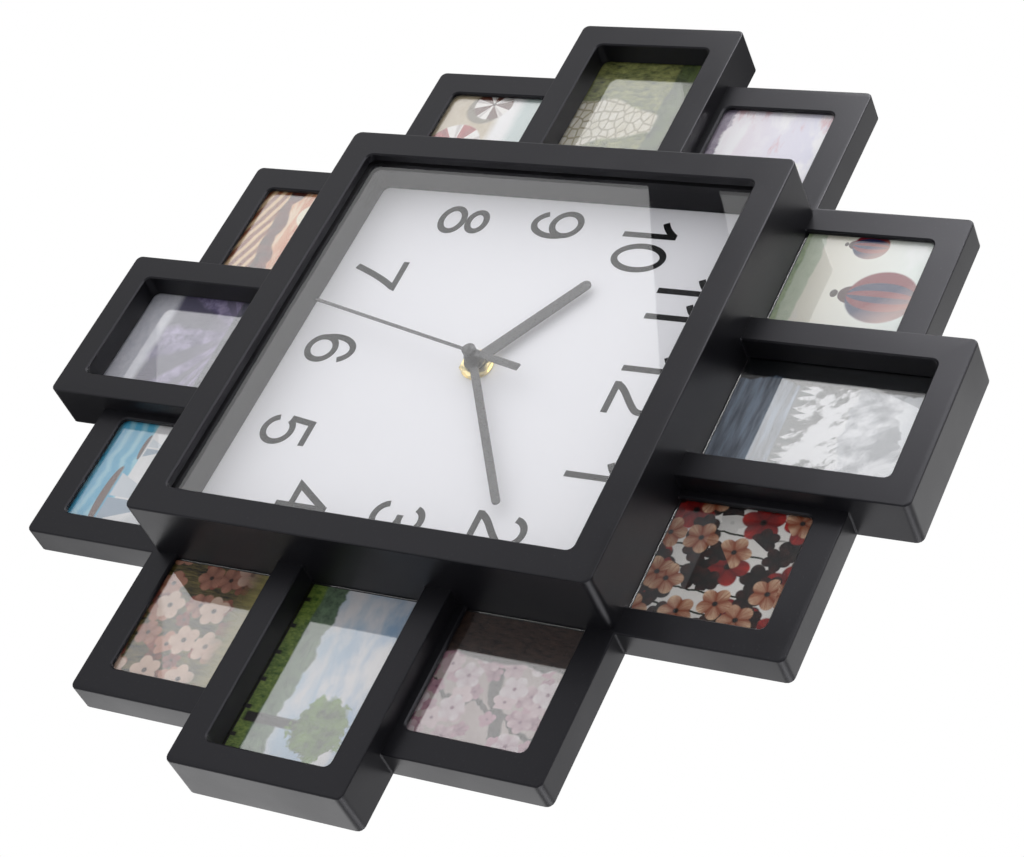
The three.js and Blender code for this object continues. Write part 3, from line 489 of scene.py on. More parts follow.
def gradient(t, y, low, high, *stops):
    """Colours that change from low to high, given by share and code."""
    return t.ramp(t.fit(y, low, high), [(share, colour(code)) for share, code in stops])


def flowers(t, x, y, size, reach, heart):
    """Five-lobed flowers, one to a cell: where they are, their hearts, folds and a random number each."""
    spot = t.vector(x, y)
    cell_x, cell_y, _ = t.split(t.cells(spot, size, output="Position"))
    across, up = (x - cell_x) / size, (y - cell_y) / size
    distance = t.math("SQRT", across * across + up * up)
    shade = t.split(t.cells(spot, size, output="Color"))[0]
    angle = t.math("ARCTAN2", up, across)
    lobe = t.math("ABSOLUTE", t.math("COSINE", angle * 2.5 + shade * 9.0))
    petals = t.fit(distance - lobe * (0.3 * reach), 0.7 * reach - 0.02, 0.7 * reach + 0.02, 1.0, 0.0)
    hearts = t.fit(distance, heart, heart + 0.04, 1.0, 0.0)
    veins = t.noise(t.vector(angle * 4.0, distance, shade * 9.0), 0.5, detail=2.0)
    folds = t.fit(distance, 0.0, reach) * lobe * t.fit(veins, 0.3, 0.6, 0.4, 1.0)
    return petals, hearts, folds, shade


def balloon(t, x, y):
    sky = gradient(t, y, -1.0, 1.1, (0.2, 0xfdfae8), (0.6, 0xf4f8ee), (1.0, 0xe2f2ea))
    sky = t.mix(clouds(t, x, y, 0.7, 3.0, 0.52) * 0.7, sky, colour(0xfefefc))
    far = speckle(t, x, y, 0.2, 1.0, colour(0xc6d4b8), colour(0xdfe8d0))
    view = t.mix(below(t, y, ridge(t, x, -0.74, 0.14, 1.1, 4.0)), sky, far)
    near = speckle(t, x, y, 0.12, 2.0, colour(0x86a076), colour(0xbccca0))
    view = t.mix(below(t, y, ridge(t, x, -0.94, 0.12, 0.8, 9.0)), view, near)
    for centre, radius in (((0.22, 0.3), 0.42), ((-0.6, -0.12), 0.22)):
        across, up = (x - centre[0]) / radius, (y - centre[1]) / (radius * 1.1)
        girth = t.math("SQRT", t.math("MAXIMUM", 1.0 - up * up, 0.02))
        gores = t.math("SINE", t.math("ARCTANGENT", across / girth * 1.5) * 9.0)
        silk = t.mix(t.fit(gores, -0.15, 0.15), colour(0x8c1f2e), colour(0x252f5c))
        silk = t.mix(t.fit(across + up, 0.0, 1.2) * 0.6, silk, colour(0xf0c4b0))
        throat = (centre[0], centre[1] - 0.95 * radius)
        view = t.mix(disc(t, x, y, throat, (0.34 * radius, 0.42 * radius)), view, colour(0x4a1820))
        view = t.mix(disc(t, x, y, centre, (radius, radius * 1.1)), view, silk)
        basket = (centre[0], centre[1] - 1.5 * radius)
        view = t.mix(disc(t, x, y, basket, (0.15 * radius, 0.12 * radius)), view, colour(0x3a2416))
    return view


def snow_peaks(t, x, y):
    sky = gradient(t, y, 0.2, 1.5, (0.0, 0xeef1f3), (1.0, 0xb4bfca))
    sky = t.mix(clouds(t, x, y, 0.9, 7.0, 0.5), sky, colour(0xf6f7f8))
    rock = t.noise(t.vector(x * 1.1 + y * 0.5, y * 0.8, 2.0), 0.3, detail=6.0, roughness=0.65)
    far = t.mix(t.fit(rock, 0.42, 0.6), colour(0xe9ebee), colour(0x646d78))
    view = t.mix(below(t, y, ridge(t, x, 0.75, 0.75, 1.0, 3.0, 7.0), 0.01), sky, far)
    near = t.mix(t.fit(rock, 0.5, 0.57), colour(0xf4f5f6), colour(0x1c2228))
    view = t.mix(below(t, y, ridge(t, x, 0.15, 0.6, 0.8, 12.0, 7.0), 0.01), view, near)
    firs = t.math("PINGPONG", x + ridge(t, x, 0.0, 0.1, 0.25, 2.0), 0.05)
    shore = firs * (t.noise(t.vector(x, 30.0), 0.2) * 6.0) - 0.5
    view = t.mix(below(t, y, shore), view, speckle(t, x, y, 0.06, 6.0, colour(0x141d24), colour(0x44525a)))
    swell = t.noise(t.vector(x * 0.35, y * 3.0, 8.0), 0.22, detail=5.0)
    lake = t.mix(t.fit(swell, 0.35, 0.65), colour(0x2a3c52), colour(0x93a7bd))
    view = t.mix(below(t, y, -0.52, 0.01), view, lake)
    cliff = speckle(t, x * 2.0, y * 0.6, 0.2, 9.0, colour(0x040506), colour(0x1a1f24))
    return t.mix(below(t, x, ridge(t, y, -0.5, 0.22, 0.6, 21.0, 7.0), 0.015), view, cliff)


def poppies(t, x, y):
    view = t.mix(t.noise(t.vector(x, y), 0.5), colour(0xfdfbf6), colour(0xd8d4cc))
    stems = t.math("ABSOLUTE", t.math("SINE", x * 11.0 + ridge(t, y, 0.0, 2.2, 0.8, 2.0)))
    view = t.mix(t.fit(stems, 0.1, 0.2, 1.0, 0.0) * below(t, y, 0.45, 0.3), view, colour(0x1a2412))
    for size, shift, dark, light in (
        (0.5, 4.3, colour(0x060504), colour(0x3c2218)),
        (0.62, 0.4, colour(0x64060a), colour(0xd0281c)),
        (0.4, 1.6, colour(0x080606), colour(0x4c2016)),
        (0.5, 7.2, colour(0x8c3c18), colour(0xfcdcb4)),
    ):
        petals, hearts, folds, shade = flowers(t, x + shift, y - shift, size, 0.45, 0.05)
        some = petals * t.fit(shade, 0.25, 0.27)
        silk = t.noise(t.vector(x, y, shift), 0.14, detail=5.0)
        petal = t.mix(t.spread(silk) * 0.6, t.mix(folds, dark, light), dark)
        view = t.mix(some, view, petal)
        view = t.mix(hearts * some, view, colour(0x14100e))
    return view


def blossom(t, x, y):
    view = t.mix(t.noise(t.vector(x, y), 0.8, detail=5.0), colour(0xf0e2dc), colour(0xa88c88))
    bough = t.math("ABSOLUTE", y - x * 0.45 - ridge(t, x, -0.05, 0.35, 0.7, 5.0))
    twig = t.math("ABSOLUTE", x - y * 0.35 - ridge(t, y, 0.25, 0.4, 0.6, 8.0))
    wood = speckle(t, x * 2.0, y * 0.7, 0.1, 2.0, colour(0x100b0a), colour(0x5c443a))
    view = t.mix(t.fit(bough, 0.07, 0.1, 1.0, 0.0), view, wood)
    view = t.mix(t.fit(twig, 0.03, 0.05, 1.0, 0.0), view, wood)
    for size, shift, dark, light in (
        (0.26, 1.9, colour(0x6a2048), colour(0xd9a3b4)),
        (0.36, 3.4, colour(0x9c4a74), colour(0xf0d4d6)),
        (0.42, 6.2, colour(0xb4688c), colour(0xfdf4f2)),
    ):
        petals, hearts, folds, shade = flowers(t, x + shift, y + shift, size, 0.44, 0.04)
        some = petals * t.fit(shade, 0.3, 0.32)
        view = t.mix(some, view, t.mix(folds, t.mix(shade, dark, light), light))
        view = t.mix(hearts * some, view, colour(0x8c4668))
    return t.mix(below(t, x, ridge(t, y, -0.42, 0.2, 0.6, 15.0), 0.02), view, wood)


def hill_tree(t, x, y):
    sky = gradient(t, y, -0.5, 1.4, (0.0, 0xd4e9f6), (1.0, 0x4a95d2))
    sky = t.mix(clouds(t, x, y, 0.6, 2.0, 0.46), sky, colour(0xfcfafa))
    wood = speckle(t, x, y, 0.1, 1.0, colour(0x24402a), colour(0x7c9c74))
    view = t.mix(below(t, y, ridge(t, x, -0.3, 0.24, 0.5, 2.0, 6.0)), sky, wood)
    grass = speckle(t, x * 2.0, y, 0.08, 3.0, colour(0x2c5a1c), colour(0xa4bc58))
    view = t.mix(below(t, y, ridge(t, x, -0.56, 0.16, 1.8, 11.0)), view, grass)
    rails = t.math("MINIMUM", t.math("ABSOLUTE", y + 0.76), t.math("ABSOLUTE", y + 0.9))
    rail = t.fit(rails, 0.015, 0.025, 1.0, 0.0)
    post = t.fit(t.math("PINGPONG", x, 0.17), 0.02, 0.03, 1.0, 0.0) * below(t, y, -0.68)
    view = t.mix(t.math("MAXIMUM", rail, post) * t.fit(y, -1.08, -1.05), view, colour(0x1c1612))
    trunk = t.fit(t.math("ABSOLUTE", x - 0.45), 0.05, 0.07, 1.0, 0.0) * t.fit(y, -0.72, -0.68)
    view = t.mix(trunk * below(t, y, 0.2), view, colour(0x1c120c))
    leaves = t.noise(t.vector(x, y, 9.0), 0.2, detail=6.0, roughness=0.7)
    crown = t.math("SQRT", (x - 0.45) * (x - 0.45) + (y - 0.2) * (y - 0.2) * 1.3) + leaves * 0.6
    foliage = t.mix(t.fit(leaves, 0.35, 0.65), colour(0x7da640), colour(0x0e2410))
    return t.mix(t.fit(crown, 0.64, 0.68, 1.0, 0.0), view, foliage)


def meadow(t, x, y):
    ground = t.mix(t.noise(t.vector(x, y), 0.6, detail=4.0), colour(0xb8a65c), colour(0x5c4a28))
    blades = t.noise(t.vector(x * 3.0, y * 0.5, 4.0), 0.2, detail=5.0, roughness=0.75)
    view = t.mix(t.fit(blades, 0.35, 0.6), ground, colour(0x1c170c))
    view = t.mix(t.fit(y, 0.4, 1.0), view, colour(0xc4b868))
    for size, shift, dark, light in (
        (0.3, 0.6, colour(0x4c1c20), colour(0xb0604c)),
        (0.44, 2.3, colour(0x6c3028), colour(0xd8987c)),
        (0.5, 3.7, colour(0x9c5248), colour(0xf4d4bc)),
    ):
        petals, hearts, folds, shade = flowers(t, x + shift, y - shift, size, 0.44, 0.05)
        some = petals * t.fit(shade, 0.3, 0.32) * below(t, y, 0.5, 0.2)
        view = t.mix(some, view, t.mix(folds, t.mix(shade, dark, light), light))
        view = t.mix(hearts * some, view, colour(0x3c2014))
    return view


def sailing(t, x, y):
    sky = gradient(t, y, 0.0, 1.0, (0.0, 0xf4f4f3), (1.0, 0xd2dce2))
    sky = t.mix(clouds(t, x, y, 0.6, 5.0, 0.5), sky, colour(0xfcfcfc))
    swell = t.math("SINE", y * 30.0 + ridge(t, x, 0.0, 7.0, 0.7, 3.0))
    sea = t.mix(t.fit(swell, -0.4, 1.0), colour(0x52bade), colour(0xa6e2f0))
    sea = t.mix(t.fit(y, -1.0, 0.0, 0.5, 0.0), sea, colour(0x3494c0))
    view = t.mix(below(t, y, -0.14, 0.01), sky, sea)
    for mast, foot, tall in ((0.3, -0.3, 1.0), (-0.55, -0.16, 0.42)):
        away = t.math("ABSOLUTE", x - mast)
        cloth = below(t, y, foot + tall - away * 2.4) * t.fit(y, foot + 0.04, foot + 0.06)
        cloth = cloth * t.fit(away, 0.01, 0.02)
        jib = t.fit(x, mast - 0.01, mast + 0.01)
        view = t.mix(cloth, view, t.mix(jib, colour(0xd8e0e6), colour(0x9cb0c2)))
        hull = disc(t, x, y, (mast, foot), (0.5 * tall, 0.11 * tall)) * below(t, y, foot + 0.02)
        view = t.mix(hull, view, colour(0x5a2c1e))
    return view


def lavender_rows(t, x, y):
    sky = gradient(t, y, 0.3, 1.45, (0.0, 0xeed6c8), (0.5, 0xd9cbdc), (1.0, 0xb0aacc))
    sky = t.mix(clouds(t, x, y, 0.7, 1.0, 0.52), sky, colour(0xf4eaea))
    depth = t.math("MAXIMUM", 0.52 - y, 0.05)
    furrow = t.math("SINE", (x + 0.3) / depth * 6.0)
    bush = t.noise(t.vector(x, y, 3.0), 0.16, detail=5.0, roughness=0.7)
    flower = t.mix(t.fit(bush, 0.35, 0.65), colour(0x3c2e6c), colour(0xc4b8dc))
    rows = t.mix(t.fit(furrow + bush - 0.5, -0.3, 0.3), colour(0x64607a), flower)
    rows = t.mix(t.fit(y, 0.0, 0.4) * 0.7, rows, colour(0xa89cbc))
    view = t.mix(below(t, y, 0.36, 0.02), sky, rows)
    trees = below(t, y, ridge(t, x, 0.5, 0.3, 0.4, 6.0, 6.0)) * t.fit(y, 0.33, 0.35)
    view = t.mix(trees, view, speckle(t, x, y, 0.1, 8.0, colour(0x3c404c), colour(0x8c8a9c)))
    terrace = speckle(t, x, y, 0.12, 5.0, colour(0xd8dae6), colour(0xf4f4fa))
    return t.mix(below(t, y, ridge(t, x, -0.55, 0.08, 0.7, 9.0), 0.06), view, terrace)


def dune_sunset(t, x, y):
    sky = gradient(t, y, -0.4, 1.0, (0.0, 0xfbd8a4), (0.45, 0xe0703c), (1.0, 0x9c2a20))
    streak = t.noise(t.vector(x * 0.5, y * 2.4, 2.0), 0.3, detail=5.0)
    sky = t.mix(t.fit(streak, 0.48, 0.6), sky, colour(0xfcdcb8))
    view = t.mix(disc(t, x, y, (-0.3, 0.2), (0.22, 0.22), 0.06), sky, colour(0xfff4d8))
    shade = speckle(t, x, y, 0.2, 4.0, colour(0x240c0a), colour(0x8c3c24))
    view = t.mix(below(t, y, ridge(t, x, -0.1, 0.3, 0.6, 7.0, 2.0)), view, shade)
    ripple = t.math("SINE", y * 40.0 + x * 16.0 + ridge(t, x, 0.0, 3.0, 0.5, 5.0))
    sand = t.mix(t.fit(ripple, -0.6, 0.8), colour(0x9c5228), colour(0xf4d0a0))
    return t.mix(below(t, y, ridge(t, x, -0.36, 0.3, 1.0, 15.0, 1.0)), view, sand)


def parasol(t, x, y):
    sand = speckle(t, x, y, 0.1, 1.0, colour(0xc8b896), colour(0xf0e6d0))
    sand = t.mix(t.noise(t.vector(x, y, 4.0), 0.5), sand, colour(0xb8a480))
    shore = ridge(t, x, 0.3, 0.14, 0.8, 3.0)
    view = t.mix(below(t, 0.0 - y, 0.0 - shore, 0.03), sand, colour(0xc8d8d4))
    foam = t.fit(t.math("ABSOLUTE", y - shore), 0.08, 0.22, 1.0, 0.0)
    view = t.mix(foam, view, colour(0xfdfcfa))
    for centre, radius, stripe in (((0.25, -0.3), 0.42, 0xb01c1e), ((-0.6, 0.0), 0.3, 0x6a3c2c)):
        shadow = (centre[0] + 0.3 * radius, centre[1] - 0.28 * radius)
        view = t.mix(disc(t, x, y, shadow, (radius, radius), 0.1) * 0.7, view, colour(0x3c3020))
        angle = t.math("ARCTAN2", y - centre[1], x - centre[0])
        cloth = t.mix(t.fit(t.math("SINE", angle * 5.0), -0.08, 0.08), colour(0xfaf6f0), colour(stripe))
        cloth = t.mix(t.fit(t.math("SINE", angle * 10.0), 0.2, 1.0) * 0.4, cloth, colour(0x5c1a18))
        view = t.mix(disc(t, x, y, centre, (radius, radius)), view, cloth)
        view = t.mix(disc(t, x, y, centre, (0.1 * radius, 0.1 * radius)), view, colour(0x4a2a1a))
    return view


def garden_path(t, x, y):
    glow = t.mix(t.noise(t.vector(x, y, 2.0), 0.3, detail=5.0), colour(0xf6f3d4), colour(0x8c9c54))
    wood = speckle(t, x, y, 0.2, 4.0, colour(0x10180c), colour(0x788c4c))
    view = t.mix(below(t, y, ridge(t, x, 0.75, 0.55, 0.5, 3.0, 7.0)), glow, wood)
    grass = speckle(t, x * 2.0, y, 0.12, 1.0, colour(0x2c3c18), colour(0xb0b468))
    view = t.mix(below(t, y, ridge(t, x, 0.3, 0.08, 0.9, 8.0)), view, grass)
    sway = ridge(t, y, 0.15, 0.5, 1.1, 6.0, 1.0)
    width = t.fit(y, 0.35, -1.2, 0.12, 0.62)
    path = t.fit(t.math("ABSOLUTE", x - sway) - width, -0.02, 0.03, 1.0, 0.0) * below(t, y, 0.32, 0.03)
    stone = t.fit(t.cells(t.vector(x, y * 1.5), 0.15, feature="DISTANCE_TO_EDGE"), 0.02, 0.16)
    gravel = t.mix(stone, colour(0xaaa07c), speckle(t, x, y, 0.2, 7.0, colour(0xd8d0b0), colour(0xfcf8ea)))
    return t.mix(path, view, gravel)


def evening_clouds(t, x, y):
    sky = gradient(t, y, -1.0, 1.0, (0.0, 0xf8e8ec), (0.5, 0xeeeaf6), (1.0, 0xdedef2))
    high = t.noise(t.vector(x * 0.5, y * 1.2, 1.0), 0.6, detail=6.0, warp=0.6)
    view = t.mix(t.fit(high, 0.45, 0.62, smooth=True), sky, colour(0xfefcfe))
    low = t.noise(t.vector(x * 0.6, y * 1.6, 6.0), 0.45, detail=6.0)
    view = t.mix(t.fit(low, 0.54, 0.7, smooth=True), view, colour(0xdca4ac))
    view = t.mix(disc(t, x, y, (0.3, 0.34), (0.17, 0.17), 0.08), view, colour(0xfffdf4))
    roofs = ridge(t, x, -0.78, 0.24, 0.35, 4.0, 6.0)
    return t.mix(below(t, y, roofs), view, speckle(t, x, y, 0.14, 3.0, colour(0x84788e), colour(0xc8bccc)))


PICTURES = {                        # picture, and how far its print is darkened towards black as painted shade for its cell
    "top_left": (balloon, 0.0), "top_middle": (snow_peaks, 0.3), "top_right": (poppies, 0.1),
    "right_upper": (blossom, 0.4), "right_middle": (hill_tree, 0.3), "right_lower": (meadow, 0.3),
    "bottom_right": (sailing, 0.15), "bottom_middle": (lavender_rows, 0.25),
    "bottom_left": (dune_sunset, 0.15), "left_lower": (parasol, 0.1),
    "left_middle": (garden_path, 0.2), "left_upper": (evening_clouds, 0.0),
}


def photo_print(cell, picture, depth):
    """Glossy photo paper with a picture upright on the clock, darkened by a painted shade, and a plain white
    back.
    """
    t = Tree("photo_" + cell)
    low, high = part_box("photo_" + cell)
    centre = (low + high) / (2 * MM)
    half = min(high.x - low.x, high.z - low.z) / (2 * MM)
    place = t.place()
    x, y, z = t.split(place)
    view = picture(t, (x - centre.x) / half, (z - centre.z) / half)
    back = t.math("GREATER_THAN", y, centre.y)
    grain = t.noise(place, 0.25, detail=2.0)
    # depth darkens the print towards black as painted shade for its cell; the grain adds a small random tone
    print_with_painted_shade = t.mix(grain * 0.12 + depth, view, colour(0x000000))
    curl = t.noise(place, 30.0, detail=1.0)
    return t.surface(
        Base_Color=t.mix(back, print_with_painted_shade, t.mix(grain, colour(0xdddbd5), colour(0xe6e4df))),
        Roughness=t.spread(grain, 0.24, 0.34) + back * 0.3,
        Specular_IOR_Level=0.4,
        Normal=t.bump(curl, 0.15),
    )


# Carried-over solids

def crisp_edges():
    """Node group that shades faces smoothly but keeps sharp edges sharp."""
    group = bpy.data.node_groups.new("crisp_edges", "GeometryNodeTree")
    group.interface.new_socket("Geometry", in_out="INPUT", socket_type="NodeSocketGeometry")
    group.interface.new_socket("Geometry", in_out="OUTPUT", socket_type="NodeSocketGeometry")
    start = group.nodes.new("NodeGroupInput")
    end = group.nodes.new("NodeGroupOutput")
    faces = group.nodes.new("GeometryNodeSetShadeSmooth")
    edges = group.nodes.new("GeometryNodeSetShadeSmooth")
    edges.domain = "EDGE"
    edges.inputs["Shade Smooth"].default_value = False
    angle = group.nodes.new("GeometryNodeInputMeshEdgeAngle")
    sharp = group.nodes.new("FunctionNodeCompare")
    sharp.operation = "GREATER_THAN"
    sharp.inputs[1].default_value = EDGE_ANGLE
    group.links.new(angle.outputs["Unsigned Angle"], sharp.inputs[0])
    group.links.new(sharp.outputs[0], edges.inputs["Selection"])
    group.links.new(start.outputs[0], faces.inputs["Geometry"])
    group.links.new(faces.outputs[0], edges.inputs["Geometry"])
    group.links.new(edges.outputs[0], end.inputs[0])
    return group


def dress(piece, material, edges):
    """Gives a piece its material and clean shading."""
    piece.data.materials.clear()
    piece.data.materials.append(material)
    weld = piece.modifiers.new("weld", "WELD")
    weld.merge_threshold = WELD
    piece.modifiers.new("crisp_edges", "NODES").node_group = edges
    normals = piece.modifiers.new("face_normals", "WEIGHTED_NORMAL")
    normals.keep_sharp = True


def new_piece(name, mesh, material, body="housing"):
    piece = bpy.data.objects.new(name, mesh)
    bpy.context.scene.collection.objects.link(piece)
    mesh.materials.append(material)
    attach(piece, body)
    return piece


# Dial print

def arc(centre, radii, start, end, steps=40):
    """Points along an arc, with angles in degrees."""
    points = []
    for i in range(steps + 1):
        angle = math.radians(start + (end - start) * i / steps)
        points.append((centre[0] + radii[0] * math.cos(angle), centre[1] + radii[1] * math.sin(angle)))
    return points


def bend(start, pull, end, steps=14):
    """Points along a quadratic curve."""
    points = []
    for i in range(steps + 1):
        s = i / steps
        weights = ((1 - s) ** 2, 2 * s * (1 - s), s * s)
        points.append(tuple(sum(w * p[k] for w, p in zip(weights, (start, pull, end))) for k in (0, 1)))
    return points


def half_turn(points):
    return [(-x, -y) for x, y in points]


# Middle lines of the digits in mm, about the middle of each digit, or about the stem of a one
TOP = DIGIT_HEIGHT / 2
RAIL = TOP - DIGIT_STROKE / 2       # middle line of a stroke along the top or foot
SIX = [arc((0.3, -4.4), (6.2, 6.5), 0, 360), arc((0.0, 0.2), (6.6, 10.7), 205, 33)]
STROKES = {
    0: [arc((0, 0), (6.5, RAIL + 0.2), 0, 360)],
    1: [[(0, TOP), (0, -TOP)], bend((-7.4, 4.7), (-3.2, 6.8), (-0.4, 11.2))],
    2: [arc((0.1, 4.7), (6.2, 6.2), 172, -18) + bend((5.6, 2.0), (4.2, 0.0), (-1.6, -4.7)),
        bend((-1.6, -4.7), (-5.9, -8.2), (-6.6, -RAIL)), [(-8.0, -RAIL), (8.0, -RAIL)]],
    3: [arc((-0.3, 5.9), (5.6, 5.0), 168, -90) + [(-2.0, 0.9)], arc((-0.2, -5.0), (6.5, 5.9), 98, -170)],
    4: [[(2.9, RAIL), (-7.0, -4.9), (8.0, -4.9)], [(3.3, TOP), (3.3, -TOP)]],
    5: [[(7.0, RAIL), (-4.6, RAIL), (-6.2, -0.4)], arc((0.2, -4.1), (6.4, 6.7), 146, -164)],
    6: SIX,
    7: [[(-7.9, RAIL), (6.7, RAIL)] + bend((6.4, RAIL - 0.9), (2.0, 3.2), (-3.3, -TOP))],
    8: [arc((0.1, 6.75), (5.4, 4.2), 0, 360), arc((0, -5.6), (6.55, 5.35), 0, 360)],
    9: [half_turn(stroke) for stroke in SIX],
}


def ribbon(points):
    """Quads of a stroke along its middle line, mitred where it turns."""
    line = [Vector(p) for p in points]
    closed = (line[0] - line[-1]).length < DIGIT_STROKE / 100
    half = DIGIT_STROKE / 2
    rails = []
    for i, point in enumerate(line):
        before = line[i - 1] if i else (line[-2] if closed else None)
        after = line[i + 1] if i + 1 < len(line) else (line[1] if closed else None)
        ways = [(b - a).normalized() for a, b in ((before, point), (point, after)) if a and b]
        way = sum(ways, Vector((0, 0))).normalized()
        side = Vector((-way.y, way.x))
        reach = half / max(side.dot(Vector((-ways[0].y, ways[0].x))), MITRE_LIMIT)
        rails.append((point + side * reach, point - side * reach))
    return [(a[0], a[1], b[1], b[0]) for a, b in zip(rails, rails[1:])]


def numeral_mesh(number):
    """Flat digits of one hour, united in one sheet and raised by the thickness of the ink."""
    height, places = NUMERALS[number]
    points, faces = [], []
    for digit, along in zip(str(number), places):
        for stroke in STROKES[int(digit)]:
            for quad in ribbon(stroke):
                faces.append(list(range(len(points), len(points) + 4)))
                points += [corner + Vector((along, height)) for corner in quad]
    flat, _, triangles, _, _, owners = delaunay_2d_cdt(points, [], faces, 0, PRINT_MERGE)
    ink = bmesh.new()
    corners = [ink.verts.new(on_face(p.x, p.y, dial_front - PRINT_RISE * MM)) for p in flat]
    for triangle, owner in zip(triangles, owners):
        if owner:
            ink.faces.new([corners[i] for i in triangle])
    bmesh.ops.delete(ink, geom=[c for c in corners if not c.link_faces], context="VERTS")
    if sum(face.normal.y for face in ink.faces) > 0:
        bmesh.ops.reverse_faces(ink, faces=ink.faces)
    mesh = bpy.data.meshes.new("numeral_%d" % number)
    ink.to_mesh(mesh)
    ink.free()
    return mesh


def print_numerals():
    ink = dial_ink()
    for number in NUMERALS:
        new_piece("numeral_%d" % number, numeral_mesh(number), ink)


# Screws of the back panel

def lathe_mesh(name, profile, steps=32):
    """Closed body of revolution about Y from (radius, depth) points that start and end on the axis."""
    body = bmesh.new()
    rings = []
    for radius, depth in profile:
        if radius == 0:
            rings.append([body.verts.new((0, depth, 0))])
            continue
        angles = [math.tau * i / steps for i in range(steps)]
        rings.append([body.verts.new((radius * math.cos(a), depth, radius * math.sin(a))) for a in angles])
    for near, far in zip(rings, rings[1:]):
        for i in range(steps):
            j = (i + 1) % steps
            corners = [near[i % len(near)], near[j % len(near)], far[j % len(far)], far[i % len(far)]]
            body.faces.new(list(dict.fromkeys(corners)))
    bmesh.ops.recalc_face_normals(body, faces=body.faces)
    mesh = bpy.data.meshes.new(name)
    body.to_mesh(mesh)
    body.free()
    return mesh


def cross_cut(piece, depth):
    """Cuts a cross recess into a screw's head."""
    cutter = bmesh.new()
    for across, up in ((RECESS_LENGTH, RECESS_WIDTH), (RECESS_WIDTH, RECESS_LENGTH)):
        size = Matrix.Diagonal((across * MM, depth * 2, up * MM, 1))
        bmesh.ops.create_cube(cutter, size=1, matrix=size)
    mesh = bpy.data.meshes.new("cross_recess")
    cutter.to_mesh(mesh)
    cutter.free()
    tool = bpy.data.objects.new("cross_recess", mesh)
    bpy.context.scene.collection.objects.link(tool)
    cut = piece.modifiers.new("recess", "BOOLEAN")
    cut.object = tool
    cut.use_self = True
    bpy.context.view_layer.update()
    evaluated = piece.evaluated_get(bpy.context.evaluated_depsgraph_get())
    whole = bpy.data.meshes.new_from_object(evaluated)
    bpy.data.objects.remove(tool)
    return whole


def panel_screw_mesh():
    """Pan head with a cross recess, and a plain shank, along Y from the head's outer face at zero."""
    head, shank = SCREW_HEAD * MM, SCREW_SHANK * MM
    tall, long = SCREW_HEAD_HEIGHT * MM, SCREW_LENGTH * MM
    dome = [(head * math.sin(a), tall * SCREW_DOME * (1 - math.cos(a))) for a in SCREW_DOME_ANGLES]
    side = [(head, tall * SCREW_RIM), (head, tall), (shank, tall), (shank, long)]
    tip = [(shank * radius, long * along) for radius, along in SCREW_TIP]
    profile = [(radius, -depth) for radius, depth in dome + side + tip]
    rough = bpy.data.objects.new("screw", lathe_mesh("screw", profile))
    bpy.context.scene.collection.objects.link(rough)
    mesh = cross_cut(rough, tall * SCREW_DOME)
    bpy.data.objects.remove(rough)
    return mesh


def fit_screws(steel, edges):
    mesh = panel_screw_mesh()
    seat = wall_plane - (SCREW_SINK - SCREW_HEAD_HEIGHT) * MM
    for i, (u, v) in enumerate(((1, 1), (1, -1), (-1, -1), (-1, 1))):
        own = mesh.copy()
        own.transform(Matrix.Rotation(SCREW_TURNS[i], 4, "Y"))
        own.transform(Matrix.Translation(on_face(u * SCREW_PLACE, v * SCREW_PLACE, seat)))
        piece = new_piece("panel_screw_%d" % (i + 1), own, steel)
        dress(piece, steel, edges)


# Stage, light and camera

def floor_material():
    t = Tree("pale_floor")
    cloud = t.noise(t.place(), 220.0)
    return t.surface(
        Base_Color=t.mix(cloud, colour(0xe9e9ea), colour(0xefefef)),
        Roughness=t.spread(cloud, 0.6, 0.7),
    )


def card(name, corners, material):
    mesh = bpy.data.meshes.new(name)
    mesh.from_pydata([tuple(c) for c in corners], [], [tuple(range(len(corners)))])
    mesh.materials.append(material)
    piece = bpy.data.objects.new(name, mesh)
    bpy.context.scene.collection.objects.link(piece)
    return piece


def lay_floor():
    angles = [math.tau * i / FLOOR_SIDES for i in range(FLOOR_SIDES)]
    rim = [(FLOOR_RADIUS * math.cos(a), FLOOR_RADIUS * math.sin(a), -FLOOR_DROP) for a in angles]
    card("floor", rim, floor_material())


def white_surround():
    """World that is white to look at and in reflections, and lights matt surfaces at a plain level."""
    world = bpy.data.worlds.new("white_surround")
    bpy.context.scene.world = world
    world.use_nodes = True
    tree = world.node_tree
    shade = tree.nodes["Background"]
    shade.inputs["Color"].default_value = (1.0, 1.0, 1.0, 1.0)
    path = tree.nodes.new("ShaderNodeLightPath")
    seen = path.outputs["Is Camera Ray"]
    for name in ("Is Glossy Ray", "Is Transmission Ray"):
        either = tree.nodes.new("ShaderNodeMath")
        either.operation = "MAXIMUM"
        tree.links.new(seen, either.inputs[0])
        tree.links.new(path.outputs[name], either.inputs[1])
        seen = either.outputs[0]
    level = tree.nodes.new("ShaderNodeMapRange")
    level.inputs["To Min"].default_value = WORLD_LIGHT
    level.inputs["To Max"].default_value = 1.0
    tree.links.new(seen, level.inputs["Value"])
    tree.links.new(level.outputs[0], shade.inputs["Strength"])


def mirrored(u, v, reach):
    """Point that the camera sees mirrored at u and v on the glass."""
    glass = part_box("clock_glass")[0].y
    eye = Vector(CAMERA_PLACE)
    eye.y = 2 * glass - eye.y
    point = on_face(u, v, glass)
    return point + (point - eye).normalized() * reach


def panel_light(name, place, width, height, brightness, seen_by="shiny"):
    """Soft panel of an even brightness, which shines along the -Z of its place."""
    light = bpy.data.lights.new(name, "AREA")
    light.shape = "RECTANGLE"
    light.size, light.size_y = width, height
    light.energy = brightness * math.pi * width * height
    lamp = bpy.data.objects.new(name, light)
    bpy.context.scene.collection.objects.link(lamp)
    lamp.matrix_world = place
    lamp.visible_camera = False
    lamp.visible_diffuse = seen_by == "matt"
    lamp.visible_glossy = lamp.visible_transmission = seen_by == "shiny"


